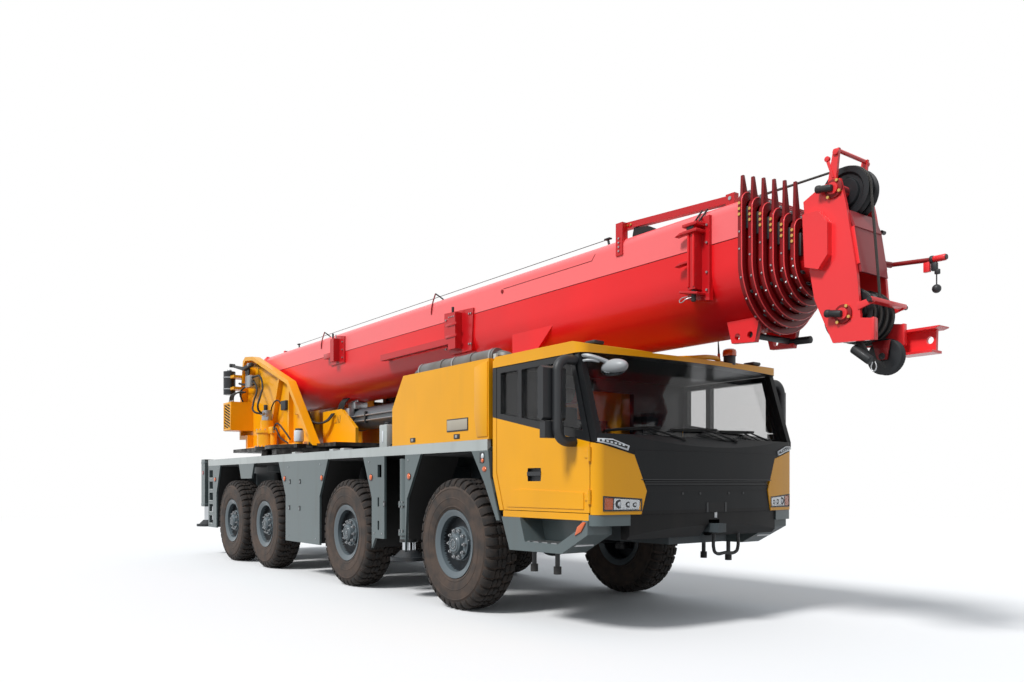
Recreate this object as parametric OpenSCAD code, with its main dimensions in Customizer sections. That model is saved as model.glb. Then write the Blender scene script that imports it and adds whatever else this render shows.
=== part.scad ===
// Four-axle all-terrain mobile crane, parked for the road with its boom over the cab.
// Millimetres. X runs forward, Y to the left, Z up; stations are measured from the front axle.

/* [Running gear] */
// Outside diameter of the tyres
tyre_d = 1370; // [1280:5:1400]
// Width of a tyre
tyre_w = 385; // [360:1:400]
// Distance between the middle planes of the left and right tyres
track = 2360; // [2340:1:2365]
// Outside diameter of the rim flange
rim_d = 716; // [690:1:730]
// Distance from axle 1 to axle 2
pitch_12 = 2550; // [2500:5:2600]
// Distance from axle 2 to axle 3
pitch_23 = 2900; // [2850:5:2950]
// Distance from axle 3 to axle 4
pitch_34 = 1550; // [1540:5:1600]
// Distance of the kingpin inboard of the tyre's middle plane
kingpin_in = 100; // [95:1:110]
// Radius of the kingpin
kingpin_r = 40; // [35:1:45]
// Radius of the wheel spindle
spindle_r = 70; // [60:1:80]

/* [Carrier] */
// Width over the deck
body_w = 2750; // [2740:1:2770]
// Height of the top of the deck rail
deck_z = 1750; // [1740:1:1760]
// Height of the deck rail's band
rail_h = 110; // [100:1:120]
// Rear end of the deck behind axle 4
rear_overhang = 1250; // [1230:5:1260]
// Front end of the deck ahead of the front axle
deck_front = 650; // [640:5:660]
// Rear end of the carrier behind the deck
tail_l = 650; // [640:5:670]
// Width of the box frame
frame_w = 900; // [860:5:920]
// Underside of the box frame
frame_z = 980; // [970:5:1000]
// Thickness of the frame plates
frame_t = 25; // [15:1:30]
// Thickness of the deck plate
deck_t = 40; // [30:1:45]
// Thickness of the side panels
panel_t = 30; // [20:1:35]
// Radius of the tow coupling's pin hole
tow_r = 25; // [20:1:30]

/* [Engine cover] */
// Rear end of the engine cover behind the front axle
cover_back = 1280; // [1270:5:1290]
// Half width of the valley between the two covers
cover_in = 420; // [400:5:440]
// Sheet thickness of the covers
cover_t = 22; // [15:1:25]

/* [Cab] */
// Width over the cab
cab_w = 2720; // [2710:1:2730]
// Front face of the cab ahead of the front axle
cab_front_x = 2330; // [2320:5:2350]
// Radius of the bowed front in plan
bow_r = 7000; // [6500:100:9000]
// Radius of the front corners in plan
corner_r = 100; // [90:5:110]
// Rear wall of the cab ahead of the front axle
cab_rear_x = 720; // [710:1:730]
// Underside of the cab
cab_floor_z = 1000; // [990:1:1010]
// Top of the cab roof
cab_roof_z = 2540; // [2520:1:2545]
// Thickness of the cab doors
door_t = 65; // [50:1:75]
// Thickness of the cab's front skin
skin_t = 40; // [30:1:50]

/* [Superstructure] */
// Slewing axis behind axle 3
slew_behind = 600; // [550:5:650]
// Outside radius of the slewing ring's teeth
ring_r = 1000; // [980:5:1020]
// Number of teeth on the slewing ring
ring_teeth = 90; // [72:1:96]
// Depth of the slewing ring's teeth
tooth_h = 34; // [24:1:40]
// Height of the boom foot pin
foot_z = 3400; // [3380:5:3420]
// Boom foot pin behind the slewing axis
foot_behind = 1950; // [1910:5:1990]
// Radius of the boom foot pin
foot_r = 60; // [50:1:70]
// Lift cylinder's foot pin ahead of the slewing axis
lift_ahead = 900; // [850:5:950]
// Height of the lift cylinder's foot pin
lift_z = 2340; // [2330:5:2350]
// Lift cylinder's rod eye ahead of the front axle
eye_x = 100; // [50:5:150]
// Height of the rod eye with the boom down
eye_z = 2380; // [2370:5:2390]
// Outside radius of the lift cylinder's barrel
barrel_r = 175; // [165:1:180]
// Radius of the lift cylinder's rod
rod_r = 125; // [110:1:130]

/* [Boom] */
// Width of the base section
boom_w = 1000; // [980:2:1010]
// Underside of the base section
boom_z = 2620; // [2610:5:2630]
// Height of the base section
boom_h = 1030; // [1010:5:1040]
// Wall of every boom section
boom_t = 12; // [8:1:14]
// Gap between one section and the next
boom_gap = 38; // [34:1:40]
// Front end of the base section ahead of the front axle
boom_front = 3040; // [3030:5:3050]
// Distance from one collar to the next
collar_pitch = 64; // [60:1:70]
// Thickness of a collar
collar_t = 40; // [30:1:46]
// Front end of the boom head ahead of the front axle
head_front = 4250; // [4240:5:4260]
// Radius of the head sheaves
sheave_r = 205; // [195:1:210]

/* [Outriggers] */
// Station of the front outriggers behind the front axle
front_leg_back = 1225; // [1215:5:1235]
// Station of the rear outriggers behind the deck
rear_leg_behind = 310; // [305:5:315]
// Width of an outrigger beam
beam_w = 180; // [160:1:190]
// Height of an outrigger beam
beam_h = 330; // [300:1:340]
// Distance of a jack from the middle of the carrier
jack_y = 1240; // [1235:1:1250]
// Outside radius of a jack's housing
jack_r = 105; // [95:1:110]
// Radius of a jack's rod
jack_rod_r = 78; // [70:1:80]
// Radius of a jack's foot pad
pad_r = 215; // [200:1:220]

/* [Hidden] */
$fn = 64;
eps = 0.3;
running = 0.05;
wheel_r = tyre_d / 2;
axle_x = [0, -pitch_12, -pitch_12 - pitch_23, -pitch_12 - pitch_23 - pitch_34];
deck_rear = rear_overhang - axle_x[3];
carrier_rear = deck_rear + tail_l;
rear_leg_back = deck_rear + rear_leg_behind;
sides = ["l", "r"];
legs = ["fl", "fr", "rl", "rr"];

yellow = "#e8a020";
red = "#d8202a";
grey = "#7d8a8c";
dark = "#26282b";
clear = "#9fb4c0";
frame_top = deck_z - rail_h;
half_w = body_w / 2;
cab_half = cab_w / 2;
x_mid = (head_front - carrier_rear) / 2;
slew_x = axle_x[2] - slew_behind;
foot = [slew_x - foot_behind, 0, foot_z];
lift_foot = [slew_x + lift_ahead, 0, lift_z];
rod_eye = [eye_x, 0, eye_z];
lift_len = norm(rod_eye - lift_foot);
lift_tilt = atan2(eye_z - lift_z, eye_x - lift_foot[0]);

// Moves the whole crane so that the origin is under the middle of its box
module on_frame() { translate([-x_mid, 0, 0]) children(); }
// Children are drawn on the left; "r" mirrors them to the right
module on_side(s) { if (s == "r") mirror([0, 1, 0]) children(); else children(); }
// A box between two opposite corners
module block(a, b) { translate(a) cube(b - a); }
// An outline in X and Z, from y0 to y1
module side_plate(points, y0, y1) {
    translate([0, y1, 0]) rotate([90, 0, 0]) linear_extrude(y1 - y0) polygon(points);
}
// An outline in Y and Z, from x0 to x1
module cross_plate(points, x0, x1) {
    translate([x0, 0, 0]) rotate([90, 0, 90]) linear_extrude(x1 - x0) polygon(points);
}
module bar_x(r, x0, x1) { translate([x0, 0, 0]) rotate([0, 90, 0]) cylinder(h = x1 - x0, r = r); }
module bar_y(r, y0, y1) { translate([0, y0, 0]) rotate([-90, 0, 0]) cylinder(h = y1 - y0, r = r); }
module bar_z(r, z0, z1) { translate([0, 0, z0]) cylinder(h = z1 - z0, r = r); }
// Children stand at a wheel's centre, +Y pointing out of the wheel
module at_wheel(a, s) { on_side(s) translate([axle_x[a - 1], track / 2, wheel_r]) children(); }
module revolve_y() { rotate([-90, 0, 0]) rotate_extrude($fn = 96) children(); }

/* Wheels */
rim_r = rim_d / 2;
seat_r = 300;
bead = 138;
spindle_end = 120;
hub_in = 14;
module tyre() {
    w = tyre_w / 2;
    outer = [[seat_r + eps, bead], [seat_r + 18, bead + 8], [rim_r + 1, bead + 18],
             [rim_r + 6, bead + 32], [400, w - 9], [440, w - 3], [490, w], [540, w - 1],
             [590, w - 5], [632, w - 14], [656, w - 27], [wheel_r - 12, w - 46], [wheel_r, w - 80]];
    inner = [[wheel_r - 45, 105], [480, 150], [360, 120], [seat_r + eps, 100]];
    far = [for (i = [len(outer) - 1:-1:0]) [outer[i][0], -outer[i][1]]];
    near = [for (i = [len(inner) - 1:-1:0]) [inner[i][0], -inner[i][1]]];
    color(dark) revolve_y() polygon(concat(outer, far, near, inner));
}
nut_n = 10;
nut_pcd = 142;
module rim() {
    profile = [[0, 170], [84, 170], [100, 158], [108, 118], [172, 108], [172, 72], [200, 60],
        [280, 52], [292, 148], [336, 166], [rim_r, 172], [rim_r, 158], [seat_r + 18, 148],
        [seat_r, 140], [seat_r, -140], [seat_r + 18, -148], [rim_r, -158], [rim_r, -172],
        [336, -168], [280, -148], [278, 28], [190, 34], [150, hub_in], [0, hub_in]];
    color(grey) difference() {
        union() {
            revolve_y() polygon(profile);
            for (i = [0:nut_n - 1]) rotate([0, i * 360 / nut_n, 0]) translate([nut_pcd, 0, 0])
                bar_y(15, 100, 134);
        }
        bar_y(spindle_r + running, hub_in - 1, spindle_end + 2);
    }
}
ear = [103, 158];
web_in = 24;
module knuckle() {
    color(dark) difference() {
        union() {
            for (k = [1, -1]) mirror([0, 0, k > 0 ? 0 : 1]) {
                translate([0, -kingpin_in, 0]) bar_z(kingpin_r + 38, ear[0], ear[1]);
                block([-70, -kingpin_in, ear[0]], [70, -web_in + 4, ear[1]]);
            }
            block([-80, -web_in, -ear[1]], [80, hub_in - 8, ear[1]]);
            bar_y(spindle_r, -web_in, spindle_end);
        }
        translate([0, -kingpin_in, 0]) bar_z(kingpin_r + running, -ear[1] - 1, ear[1] + 1);
    }
}

/* Axles with their struts */
strut_y = 540;
strut_seat = frame_top - 150;
pin_y = track / 2 - kingpin_in;
module axle() {
    bar_y(80, -pin_y, pin_y);
    sphere(r = 195);
    bar_x(110, -260, 260);
    for (s = [1, -1]) translate([0, s * pin_y, 0]) {
        bar_z(kingpin_r + 30, -ear[0] + 6, ear[0] - 6);
        bar_z(kingpin_r, -ear[1], ear[1]);
    }
    for (s = [1, -1]) translate([0, s * strut_y, 0]) {
        block([-75, -60, -70], [75, 60, 110]);
        bar_z(46, 100, strut_seat - wheel_r);
        bar_z(62, 320, strut_seat - wheel_r);
    }
}
module axles() { color(dark) for (x = axle_x) translate([x, 0, wheel_r]) axle(); }

/* Box frame, outrigger housings and turntable seat */
beam_z = 1160;
beam_clear = 6;
wall = 16;
leg_gap = beam_w / 2 + beam_clear + wall / 2;
housing_y = 1100;
tongue_y = 400;
tongue = [760, 985];
tongue_front = 2120;
tow_x = cab_front_x + 30;
bay = [-740, 540, 400];
function leg_back(g) = g[0] == "f" ? front_leg_back : rear_leg_back;
function leg_turn(g) = (g[0] == "f" ? 1 : -1) * (g[1] == "r" ? 1 : -1);
function leg_x(g) = -leg_back(g) + leg_turn(g) * leg_gap;
module beam_tunnel(g) {
    block([leg_x(g) - beam_w / 2 - beam_clear, -housing_y - 1, beam_z - beam_clear],
          [leg_x(g) + beam_w / 2 + beam_clear, housing_y + 1, beam_z + beam_h + beam_clear]);
}
module leg_housing(back) {
    w = 2 * (beam_w + 2 * beam_clear) + 3 * wall;
    block([-back - w / 2, -housing_y, beam_z - beam_clear - wall],
          [-back + w / 2, housing_y, beam_z + beam_h + beam_clear + wall]);
}
module frame_box() {
    fh = frame_w / 2;
    t = frame_t;
    difference() {
        union() {
            block([-rear_leg_back - 215, -fh, frame_z], [deck_front, fh, frame_top]);
            block([deck_front - 60, -tongue_y, tongue[0]], [tongue_front, tongue_y, tongue[1]]);
            block([deck_front - 80, -tongue_y, tongue[0]], [deck_front + 20, tongue_y, frame_z + 40]);
        }
        block([-rear_leg_back - 230, -fh + t, frame_z + t], [deck_front - t, fh - t, frame_top - t]);
        block([deck_front - 35, -tongue_y + t, tongue[0] + t],
            [tongue_front - t, tongue_y - t, tongue[1] - t]);
    }
}
module chassis_frame() {
    fh = frame_w / 2;
    color(grey) difference() {
        union() {
            frame_box();
            side_plate([[-carrier_rear, 1080], [-carrier_rear + 60, 1030], [-rear_leg_back - 200, 1030],
                        [-rear_leg_back - 200, 1150], [-carrier_rear, 1150]], -900, 900);
            block([tongue_front - 30, -55, 870], [tow_x + 45, 55, 950]);
            for (x = [1000, 2040], y = [-330, 330]) translate([x, y, 0])
                bar_z(45, tongue[1] - 5, cab_floor_z - eps);
            leg_housing(front_leg_back);
            leg_housing(rear_leg_back);
            translate([slew_x, 0, 0]) difference() {
                bar_z(ring_r + 20, frame_top - 130, frame_top);
                bar_z(ring_r - 220, frame_top - 131, frame_top + 1);
            }
            for (x = axle_x, s = sides) on_side(s)
                block([x - 80, fh - 5, strut_seat], [x + 80, strut_y + 65, strut_seat + 60]);
        }
        for (g = legs) beam_tunnel(g);
        block([bay[0], -bay[2], frame_z + frame_t], [bay[1], bay[2], frame_top + 1]);
        translate([tow_x, 0, 0]) bar_z(tow_r, 860, 960);
    }
}
ring_low = 150;
ring_h = 250;
// Outline of a toothed ring
function teeth(n, root, outer) = [for (i = [0:n - 1], k = [0:3])
    let (a = 360 / n * (i + [0, 0.2, 0.5, 0.7][k]), r = k == 1 || k == 2 ? outer : root) [r * cos(a),
        r * sin(a)]];
module slewing_ring() {
    color(dark) translate([slew_x, 0, frame_top]) difference() {
        union() {
            bar_z(ring_r + 10, 0, 50);
            translate([0, 0, 49])
                linear_extrude(ring_low - 49) polygon(teeth(ring_teeth, ring_r - tooth_h, ring_r));
            bar_z(ring_r - 60, ring_low - 1, ring_h);
        }
        bar_z(ring_r - 200, -1, ring_h + 1);
    }
}

/* Deck, rails and side panels */
panel_top = frame_top - eps;
module panel(points) { side_plate(points, half_w - panel_t, half_w); }
ladder = [60, 265];
rung = [590, 205, 150];
// Half widths of the wheel arches, at the tyre's height and under the deck
arch = [770, 500];
arch_z = 1145;
module side_panels() {
    mid_34 = (axle_x[2] + axle_x[3]) / 2;
    rear = -deck_rear + 10;
    leg = -front_leg_back;
    panel([[mid_34 - 250, 1400], [mid_34 + 250, 1400], [mid_34 + 360, panel_top],
        [mid_34 - 360, panel_top]]);
    panel([[axle_x[2] + 920, 480], [axle_x[1] - arch[0], 480], [axle_x[1] - arch[0], arch_z],
           [axle_x[1] - arch[1], panel_top], [axle_x[2] + 640, panel_top], [axle_x[2] + 920, arch_z]]);
    difference() {
        panel([[axle_x[1] + 760, 530], [axle_x[1] + 850, 660], [leg - 245, 660], [leg - 245, panel_top],
               [axle_x[1] + 530, panel_top], [axle_x[1] + 760, arch_z]]);
        for (z = [760, 1040]) block([leg - 415, half_w - panel_t - 5, z], [leg - 375, half_w + 5, z + 110]);
        block([leg - 415, half_w - panel_t - 5, 1390], [leg - 315, half_w + 5, 1540]);
    }
    panel([[leg + 250, 540], [axle_x[0] - 930, arch_z], [axle_x[0] - 630, panel_top],
        [leg + 250, panel_top]]);
    panel([[800, 960], [850, 960], [700, 1370], [660, panel_top], [370, panel_top], [590, 1330]]);
    difference() {
        panel([[rear, 530], [axle_x[3] - arch[0], 530], [axle_x[3] - arch[0], arch_z],
               [axle_x[3] - 560, panel_top], [rear, panel_top]]);
        for (i = [0:4]) block([rear + ladder[0], half_w - panel_t - 5, rung[0] + i * rung[1]],
                              [rear + ladder[1], half_w + 5, rung[0] + i * rung[1] + rung[2]]);
    }
}
step_top = cab_floor_z - eps;
module cab_step() {
    difference() {
        side_plate([[1014, 690], [1770, 700], [2110, 880], [2110, step_top],
            [885, step_top]], half_w - 280, half_w);
        side_plate([[1250, 780], [1720, 780], [2040, 950], [2040, step_top + 5],
            [1170, step_top + 5]], half_w - 250, half_w + 5);
    }
}
module corner_sill() {
    in_plan(6, 70) block([door_front_x - 12, 1010 + eps, 955],
        [cab_front_x, cab_half + 5, grille[0][1] - eps]);
}
module deck() {
    color(grey) {
        difference() {
            block([-deck_rear, -half_w, frame_top], [deck_front, half_w, frame_top + deck_t]);
            translate([slew_x, 0, 0]) bar_z(ring_r + 25, frame_top - 1, frame_top + deck_t + 1);
            block([bay[0], -bay[2], frame_top - 1], [bay[1], bay[2], frame_top + deck_t + 1]);
        }
        for (s = sides) on_side(s) {
            block([-deck_rear, half_w - 45, frame_top + deck_t], [deck_front, half_w, deck_z]);
            side_panels();
            cab_step();
            corner_sill();
        }
    }
}

/* Engine and its covers */
engine_top = 2010;
module engine() {
    color(dark) block([bay[0] + 40, -bay[2] + 30, frame_z + frame_t + eps],
        [bay[1] - 40, bay[2] - 30, engine_top]);
}
cover_front = deck_front + 20;
muffler_r = 88;
muffler_y = 950;
module engine_cover() {
    top = cab_roof_z;
    t = cover_t;
    base = deck_z + eps;
    rear = -cover_back;
    out = half_w - 2;
    color(yellow) for (s = sides) on_side(s) difference() {
        side_plate([[rear, base], [cover_front, base], [cover_front, top], [rear + 260, top],
            [rear, top - 360]], cover_in, out);
        side_plate([[rear + t, base - 1], [cover_front - t, base - 1], [cover_front - t, top - t],
                    [rear + 268, top - t], [rear + t, top - 370]], cover_in + t, out - t);
        for (i = [0:4]) block([rear + 420 + i * 130, cover_in + 90, top - t - 5],
            [rear + 490 + i * 130, cover_in + 380, top + 5]);
    }
    color(grey) translate([0, -muffler_y, top + muffler_r + 20]) {
        bar_x(muffler_r, rear + 30, rear + 1530);
        for (x = [rear + 480, rear + 1080]) {
            bar_x(muffler_r + 8, x, x + 50);
            block([x, -40, -muffler_r - 20 + eps], [x + 50, 40, 0]);
        }
    }
}

/* Cab */
wall_c = 60;
door_front_x = 2120;
door_rear_x = cab_rear_x + wall_c + 8;
door_low = cab_floor_z + 65;
belt_z = 1680;
roof_low = cab_roof_z - 105;
pillar_top_x = 1905;
screen_x = [2226, 1985];
screen_z = [1735, roof_low];
trough_y = 600;
trough_h = 60;
// Edge between the black grille and the yellow corner panels, as Y and Z
grille = [[900, 1050], [842, 1250], [975, 1560]];
function grille_y(z) = grille[1][0]
    + (z - grille[1][1]) * (grille[2][0] - grille[1][0]) / (grille[2][1] - grille[1][1]);
// Hinge pins of the doors, on the outer face at the front edge
hinge = [door_front_x + 4, cab_half + 8];
hinge_z = [1200, 1560];
hinge_r = 17;
hinge_pin_r = 8;
// The cab seen from above: a bowed front that runs into round corners
bow_x = cab_front_x - bow_r;
corner_y = cab_half - corner_r;
corner_x = bow_x + sqrt(pow(bow_r - corner_r, 2) - pow(corner_y, 2));
module cab_plan(inset) {
    w = cab_half - inset;
    bow = bow_r - inset;
    meet = corner_y * bow / (bow_r - corner_r);
    translate([cab_rear_x - 50, -w]) square([corner_x - cab_rear_x + 50, 2 * w]);
    for (k = [1, -1]) translate([corner_x, k * corner_y]) circle(r = corner_r - inset);
    intersection() {
        translate([bow_x, 0]) circle(r = bow, $fn = 360);
        translate([cab_rear_x, -meet]) square([bow_r, 2 * meet]);
    }
}
// Children cut to the cab's plan, as a skin as thick as the inset
module in_plan(back, t) {
    intersection() {
        children();
        translate([-back, 0, 0]) linear_extrude(3000) difference() {
            cab_plan(0);
            if (t > 0) cab_plan(t);
        }
    }
}
function flip(points) = [for (i = [len(points) - 1:-1:0]) [-points[i][0], points[i][1]]];
module corner_panel() {
    top = [[cab_half + 5, belt_z - 20], [grille[2][0] + eps, grille[2][1]]];
    edge = [[grille[1][0] + eps, grille[1][1]], [grille[0][0] + eps, grille[0][1]]];
    lamp = [[cab_half - 75, 1085], [cab_half - 75, 1205], [905, 1180], [925, 1085]];
    difference() {
        union() {
            in_plan(0, skin_t) difference() {
                cross_plate(concat(top, edge, [[cab_half + 5, grille[0][1]]]), door_front_x + 8,
                    cab_front_x + 10);
                cross_plate(lamp, cab_front_x - 190, cab_front_x + 10);
            }
            for (z = hinge_z) translate([hinge[0], hinge[1], z]) bar_z(hinge_r, -60, 60);
            in_plan(14, skin_t - 16) cross_plate(lamp, cab_front_x - 190, cab_front_x + 10);
        }
        for (z = hinge_z) translate([hinge[0], hinge[1], z]) difference() {
            bar_z(hinge_r + 2, -30, 30);
            bar_z(hinge_pin_r, -31, 31);
        }
    }
}
module cab_shell() {
    floor_top = cab_floor_z + wall_c;
    rx = cab_rear_x;
    color(yellow) {
        block([885, -cab_half + 5, cab_floor_z], [door_front_x - 15, cab_half - 5, floor_top]);
        block([door_front_x - 20, -1000, cab_floor_z], [door_front_x + 60, 1000, floor_top]);
        in_plan(190, 0) difference() {
            side_plate([[rx, roof_low + eps], [2200, roof_low + eps], [2200, roof_low + 30],
                [1900, cab_roof_z],
                        [rx + 40, cab_roof_z], [rx, cab_roof_z - 40]], -cab_half, cab_half);
            block([600, -trough_y, cab_roof_z - trough_h], [2300, trough_y, cab_roof_z + 10]);
        }
        difference() {
            side_plate([[rx, 1390], [835, floor_top + eps], [895, floor_top + eps], [rx + wall_c, 1410],
                        [rx + wall_c, roof_low], [rx, roof_low]], -cab_half, cab_half);
            block([rx - 5, -500, 1850], [rx + wall_c + 5, 500, 2300]);
        }
        for (s = sides) on_side(s) {
            corner_panel();
            in_plan(6, 0) block([door_front_x + 8, 990, grille[0][1]], [cab_front_x, cab_half, floor_top]);
        }
    }
}
cowl_z = 1600;
pillar_x = [door_front_x + 8, door_front_x + 68];
slot = [1296, 1340];
module cab_front() {
    color(dark) {
        // Upper and lower front panels with the air slot between
        upper = [[grille_y(slot[1]), slot[1]], grille[2], [grille[2][0], cowl_z]];
        lower = [grille[0], grille[1], [grille_y(slot[0]), slot[0] - eps]];
        back = [[grille[1][0], slot[0]], [grille[1][0], slot[1] - eps]];
        in_plan(0, skin_t) cross_plate(concat(upper, flip(upper)), 2100, cab_front_x + 10);
        in_plan(10, skin_t) cross_plate(concat(lower, flip(lower)), 2100, cab_front_x + 10);
        in_plan(34, 16) cross_plate(concat(back, flip(back)), 2100, cab_front_x);
        // Bumper under the panels
        difference() {
            in_plan(20, 0) side_plate([[tongue_front + 10, 830], [2200, 830], [cab_front_x, 960],
                [cab_front_x, grille[0][1] - eps],
                                      [2185, grille[0][1] - eps], [2185, 990],
                                          [tongue_front + 10, 990]], -1010, 1010);
            block([2040, -75, 820], [2400, 75, 985]);
        }
        // Cowl under the screen, on the top edges of the corner panels
        rim_edge = [[cab_half + 5, screen_z[0] + 10], [cab_half + 5, belt_z - 20 + eps],
            [grille[2][0], grille[2][1] + eps]];
        in_plan(4, 0) intersection() {
            side_plate([[pillar_x[1] + eps, 1500], [cab_front_x + 10, 1500],
                [cab_front_x + 10, cowl_z + 30],
                        [screen_x[0] + 14, screen_z[0] - eps],
                            [pillar_x[1] + eps, screen_z[0] - eps]], -cab_half, cab_half);
            cross_plate(concat(rim_edge, [[grille[2][0], cowl_z + eps]], flip(concat(rim_edge,
                [[grille[2][0], cowl_z + eps]]))),
                        2100, cab_front_x + 10);
        }
        for (s = sides) on_side(s)
            side_plate([[pillar_x[0], belt_z - 15], [pillar_x[1], belt_z - 15], [pillar_x[1], screen_z[0]],
                        [pillar_top_x + 66, roof_low],
                            [pillar_top_x + 8, roof_low]], cab_half - 75, cab_half - 12);
    }
}
glass_t = 10;
module cab_glass() {
    lean = atan2(screen_x[0] - screen_x[1], screen_z[1] - screen_z[0]);
    run = norm([screen_x[0] - screen_x[1], screen_z[1] - screen_z[0]]);
    color(clear, 0.4) {
        intersection() {
            translate([screen_x[0], 0, screen_z[0]]) rotate([0, -lean, 0])
                translate([-bow_r, 0, -50]) linear_extrude(run + 100) difference() {
                circle(r = bow_r, $fn = 360);
                circle(r = bow_r - glass_t, $fn = 360);
            }
            block([1800, -cab_half + 80, screen_z[0]], [2300, cab_half - 80, screen_z[1]]);
        }
        block([cab_rear_x + 20, -500 + eps, 1850 + eps], [cab_rear_x + 28, 500 - eps, 2300 - eps]);
    }
}
seat_y = 640;
module seat() {
    base = cab_floor_z + wall_c + eps;
    block([1020, -230, base], [1420, 230, 1300]);
    side_plate([[960, 1300], [1480, 1300], [1500, 1340], [1490, 1460], [960, 1440]], -260, 260);
    side_plate([[960, 1440 + eps], [1085, 1445 + eps], [1010, 1900], [900, 1900]], -240, 240);
    side_plate([[905, 1900 + eps], [985, 1900 + eps], [975, 2080], [890, 2080]], -140, 140);
}
module cab_interior() {
    base = cab_floor_z + wall_c + eps;
    color(dark) {
        for (y = [-seat_y, seat_y]) translate([0, y, 0]) seat();
        side_plate([[1900, base], [2110, base], [2140, 1660], [1960, 1660], [1880, 1480]], -1200, 1200);
        translate([1780, seat_y, 1560]) rotate([0, 118, 0]) {
            rotate_extrude() translate([220, 0]) circle(r = 16, $fn = 24);
            translate([-210, -25, -8]) cube([420, 50, 16]);
            cylinder(h = 40, r = 60, center = true);
            cylinder(h = 150, r = 30);
        }
    }
}
door_top = roof_low - 6;
door_line = [[905, door_low], [door_front_x, door_low], [door_front_x, belt_z], [pillar_top_x, door_top],
             [door_rear_x, door_top], [door_rear_x, 1425]];
quarter_line = [[850, 1985], [1120, 1935], [1120, 2375], [850, 2375]];
window_line = [[1180, 1925], [2030, 1765], [1870, 2375], [1180, 2375]];
arm_r = 42;
arm_out = 190;
arm_z = [1670, 2370];
arm_x = 1925;
module mirror_arm() {
    bend = 110;
    translate([arm_x, cab_half, 0]) {
        for (z = arm_z) translate([0, 0, z]) bar_y(arm_r, -5, arm_out - bend);
        translate([0, arm_out, 0]) bar_z(arm_r, arm_z[0] + bend, arm_z[1] - bend);
        for (k = [0, 1]) translate([0, arm_out - bend, k == 0 ? arm_z[0] + bend : arm_z[1] - bend])
            rotate([0, -90, 0]) rotate([0, 0, k == 0 ? 90 : 0]) rotate_extrude(angle = 90)
                translate([bend, 0]) circle(r = arm_r);
        side_plate([[-105, 1870], [-60, 1850], [-30, 1870], [-30, 2290], [-60, 2310],
            [-105, 2290]], arm_out - 120, arm_out + 130);
        side_plate([[-100, 1700], [-30, 1700], [-30, 1840], [-100, 1840]], arm_out - 100, arm_out + 110);
    }
}
module door(s) {
    color(yellow) on_side(s) {
        difference() {
            union() {
                side_plate(door_line, cab_half - door_t, cab_half);
                for (z = hinge_z) translate([hinge[0], hinge[1], z]) bar_z(hinge_r, -30 + eps, 30 - eps);
                for (z = hinge_z) block([hinge[0] - 60, cab_half - 10, z - 30 + eps],
                    [hinge[0] - 10, cab_half + 8, z + 30 - eps]);
            }
            side_plate(window_line, cab_half - door_t - 5, cab_half + 5);
            side_plate(quarter_line, cab_half - door_t - 5, cab_half + 5);
            block([1275, cab_half - 30, 1335], [1465, cab_half + 5, 1455]);
            for (z = hinge_z) translate([hinge[0], hinge[1], z]) {
                bar_z(hinge_pin_r + running, -61, 61);
                bar_z(hinge_r + 2, -63, -30 + eps);
                bar_z(hinge_r + 2, 30 - eps, 63);
            }
        }
        mirror_arm();
        block([1270, cab_half - 16, 1385], [1470, cab_half + 6, 1422]);
        side_plate([[960, 1095], [2050, 1095], [2050, 1235], [1200, 1262],
            [1060, 1250]], cab_half - 5, cab_half + 6);
    }
}
module pane(points, rear, front, low, high) {
    intersection() {
        side_plate(points, cab_half - 40, cab_half - 32);
        block([rear + eps, 0, low], [front - eps, half_w, high - eps]);
    }
}
module door_glass(s) {
    color(clear, 0.4) on_side(s) {
        pane(window_line, 1180, 2040, 1765, 2375);
        pane(quarter_line, 850, 1120, 1935, 2375);
    }
}

/* Outriggers */
beam_inner = 1000;
jack_top = 1600;
jack_low = 640;
box_z = [890, 1770];
module outrigger_beam(g) {
    x = leg_x(g);
    color(grey) on_side(g[1]) difference() {
        union() {
            block([x - beam_w / 2, -beam_inner, beam_z], [x + beam_w / 2, jack_y - 20, beam_z + beam_h]);
            for (y = [-beam_inner, -beam_inner + 150])
                block([x - 60, y, beam_z - beam_clear + eps],
                    [x + 60, y + 80, beam_z + beam_h + beam_clear - eps]);
            if (g[0] == "f") translate([x, jack_y, 0]) {
                bar_z(jack_r, jack_low, jack_top);
                for (z = [720, 1060]) bar_z(jack_r + 18, z, z + 30);
            }
            else block([x - jack_r, jack_y - jack_r, box_z[0]], [x + jack_r, jack_y + jack_r, box_z[1]]);
        }
        block([x - beam_w / 2 + wall, -beam_inner - 5, beam_z + wall],
              [x + beam_w / 2 - wall, jack_y - jack_r - 10, beam_z + beam_h - wall]);
        translate([x, jack_y, 0]) bar_z(jack_rod_r + eps, jack_low - 1, jack_top - 40);
    }
}
module jack(g) {
    low = g[0] == "f" ? 430 : 520;
    color(grey) on_side(g[1]) translate([leg_x(g), jack_y, low]) {
        bar_z(jack_rod_r, 60, jack_top - 60 - low);
        translate([0, 0, 40]) cylinder(h = 80, r1 = pad_r - 40, r2 = 95);
        bar_z(pad_r, 0, 42);
    }
}

/* Turntable, winch and operator's cab */
web_y = [575, 605];
flange_y = 715;
table_z = frame_top + ring_h + eps;
table_t = 60;
winch = [slew_x - 2190, 0, 2480];
winch_shaft_r = 60;
drive_r = 165;
drive_at = (ring_r + 125) * [-0.7071, -0.7071];
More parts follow.
